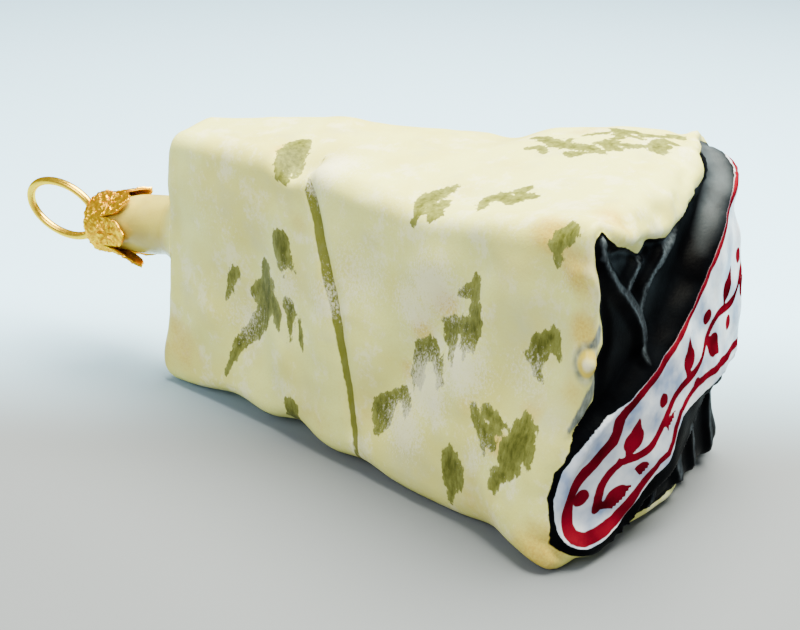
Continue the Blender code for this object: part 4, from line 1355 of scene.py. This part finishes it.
# floor, lights and camera, in millimetres and degrees
studio = {
    "floorHalf": 3000.0,
    "floorNear": "#676c73",
    "floorFar": "#b4deff",
    "floorPaler": (-10.0, 60.0),  # behind the middle, from where to where the floor turns paler
    "air": "#e4ecf6",
    "airStrength": 0.6,
    "lights": (
        ("softKey", (50.0, 90.0, 430.0), 420.0, 15.5, "#fbf8e2"),  # name, place, size, power and colour
        ("softFill", (-60.0, -420.0, 300.0), 320.0, 2.1, "#f8f9f4"),
    ),
    "lightAim": (0.0, 0.0, 22.0),
    "azimuth": 30.27,
    "elevation": 21.82,
    "roll": 2.05,
    "distance": 230.7,
    "pivot": (-1.5, 0.0, 0.0),  # the point that the camera turns about
    "shift": (1.45, 17.79),  # how far to the right of it and above it the camera aims
    "lens": 67.5,
    "sensor": 36.0,
    "nearest": 10.0,
}


def makeFloor():
    # matt paper board, paler towards the back
    half = studio["floorHalf"] * mm
    corners = [(x * half, y * half, 0) for x, y in ((-1, -1), (1, -1), (1, 1), (-1, 1))]
    mesh = bpy.data.meshes.new("paperFloor")
    mesh.from_pydata(corners, [], [(0, 1, 2, 3)])
    material, tree = newMaterial("mattPaperBoard")
    place = addNode(tree, "ShaderNodeTexCoord")["Object"]
    turn = math.radians(studio["azimuth"])
    back = (-math.sin(turn), math.cos(turn), 0.0)
    away = addNode(tree, "ShaderNodeVectorMath", {"operation": "DOT_PRODUCT"}, in0=place, in1=back)["Value"]
    low, high = (edge * mm for edge in studio["floorPaler"])
    share = addNode(tree, "ShaderNodeMapRange", smooth, in0=away, in1=low, in2=high)[0]
    near, far = linearColour(studio["floorNear"]), linearColour(studio["floorFar"])
    colour = addNode(tree, "ShaderNodeMix", colourMix, in0=share, in6=near, in7=far)[2]
    shader = addNode(tree, "ShaderNodeBsdfPrincipled", Base_Color=colour, Roughness=0.8)
    addNode(tree, "ShaderNodeOutputMaterial", Surface=shader[0])
    mesh.materials.append(material)
    floor = bpy.data.objects.new("paperFloor", mesh)
    bpy.context.scene.collection.objects.link(floor)
    return floor


def lightStudio():
    for name, place, size, power, colour in studio["lights"]:
        light = bpy.data.lights.new(name, "AREA")
        light.shape, light.size, light.energy = "DISK", size * mm, power
        light.color = linearColour(colour)[:3]
        lamp = bpy.data.objects.new(name, light)
        lamp.location = Vector(place) * mm
        lamp.rotation_euler = (Vector(studio["lightAim"]) - Vector(place)).to_track_quat("-Z", "Y").to_euler()
        bpy.context.scene.collection.objects.link(lamp)
    world = bpy.data.worlds.new("paleAir")
    world.use_nodes = True
    background = world.node_tree.nodes["Background"]
    background.inputs["Color"].default_value = linearColour(studio["air"])
    background.inputs["Strength"].default_value = studio["airStrength"]
    bpy.context.scene.world = world


def placeCamera():
    turn, tilt, roll = (math.radians(studio[key]) for key in ("azimuth", "elevation", "roll"))
    back = Vector((math.sin(turn) * math.cos(tilt), -math.cos(turn) * math.cos(tilt), math.sin(tilt)))
    right = Vector((math.cos(turn), math.sin(turn), 0.0))
    up = back.cross(right)
    right, up = right * math.cos(roll) + up * math.sin(roll), up * math.cos(roll) - right * math.sin(roll)
    aside, above = studio["shift"]
    eye = right * aside + up * above + back * studio["distance"] + Vector(studio["pivot"])
    camera = bpy.data.objects.new("camera", bpy.data.cameras.new("camera"))
    camera.data.lens, camera.data.sensor_width = studio["lens"], studio["sensor"]
    camera.data.clip_start = studio["nearest"] * mm
    camera.matrix_world = Matrix.Translation(eye * mm) @ Matrix((right, up, back)).transposed().to_4x4()
    bpy.context.scene.collection.objects.link(camera)
    bpy.context.scene.camera = camera


pieces = (
    (makeWedge(lacqueredGlass()), "glass_wedge", "painted_glass"),
    (makeCap(gildedSheet()), "crown_cap", "gilded_sheet"),
    (makeHanger(brassWire()), "wire_loop", "brass_wire"),
)
for piece, node, slot in pieces:
    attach(piece, "root")
    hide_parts(node)
makeFloor()
lightStudio()
placeCamera()
print("studio ready")
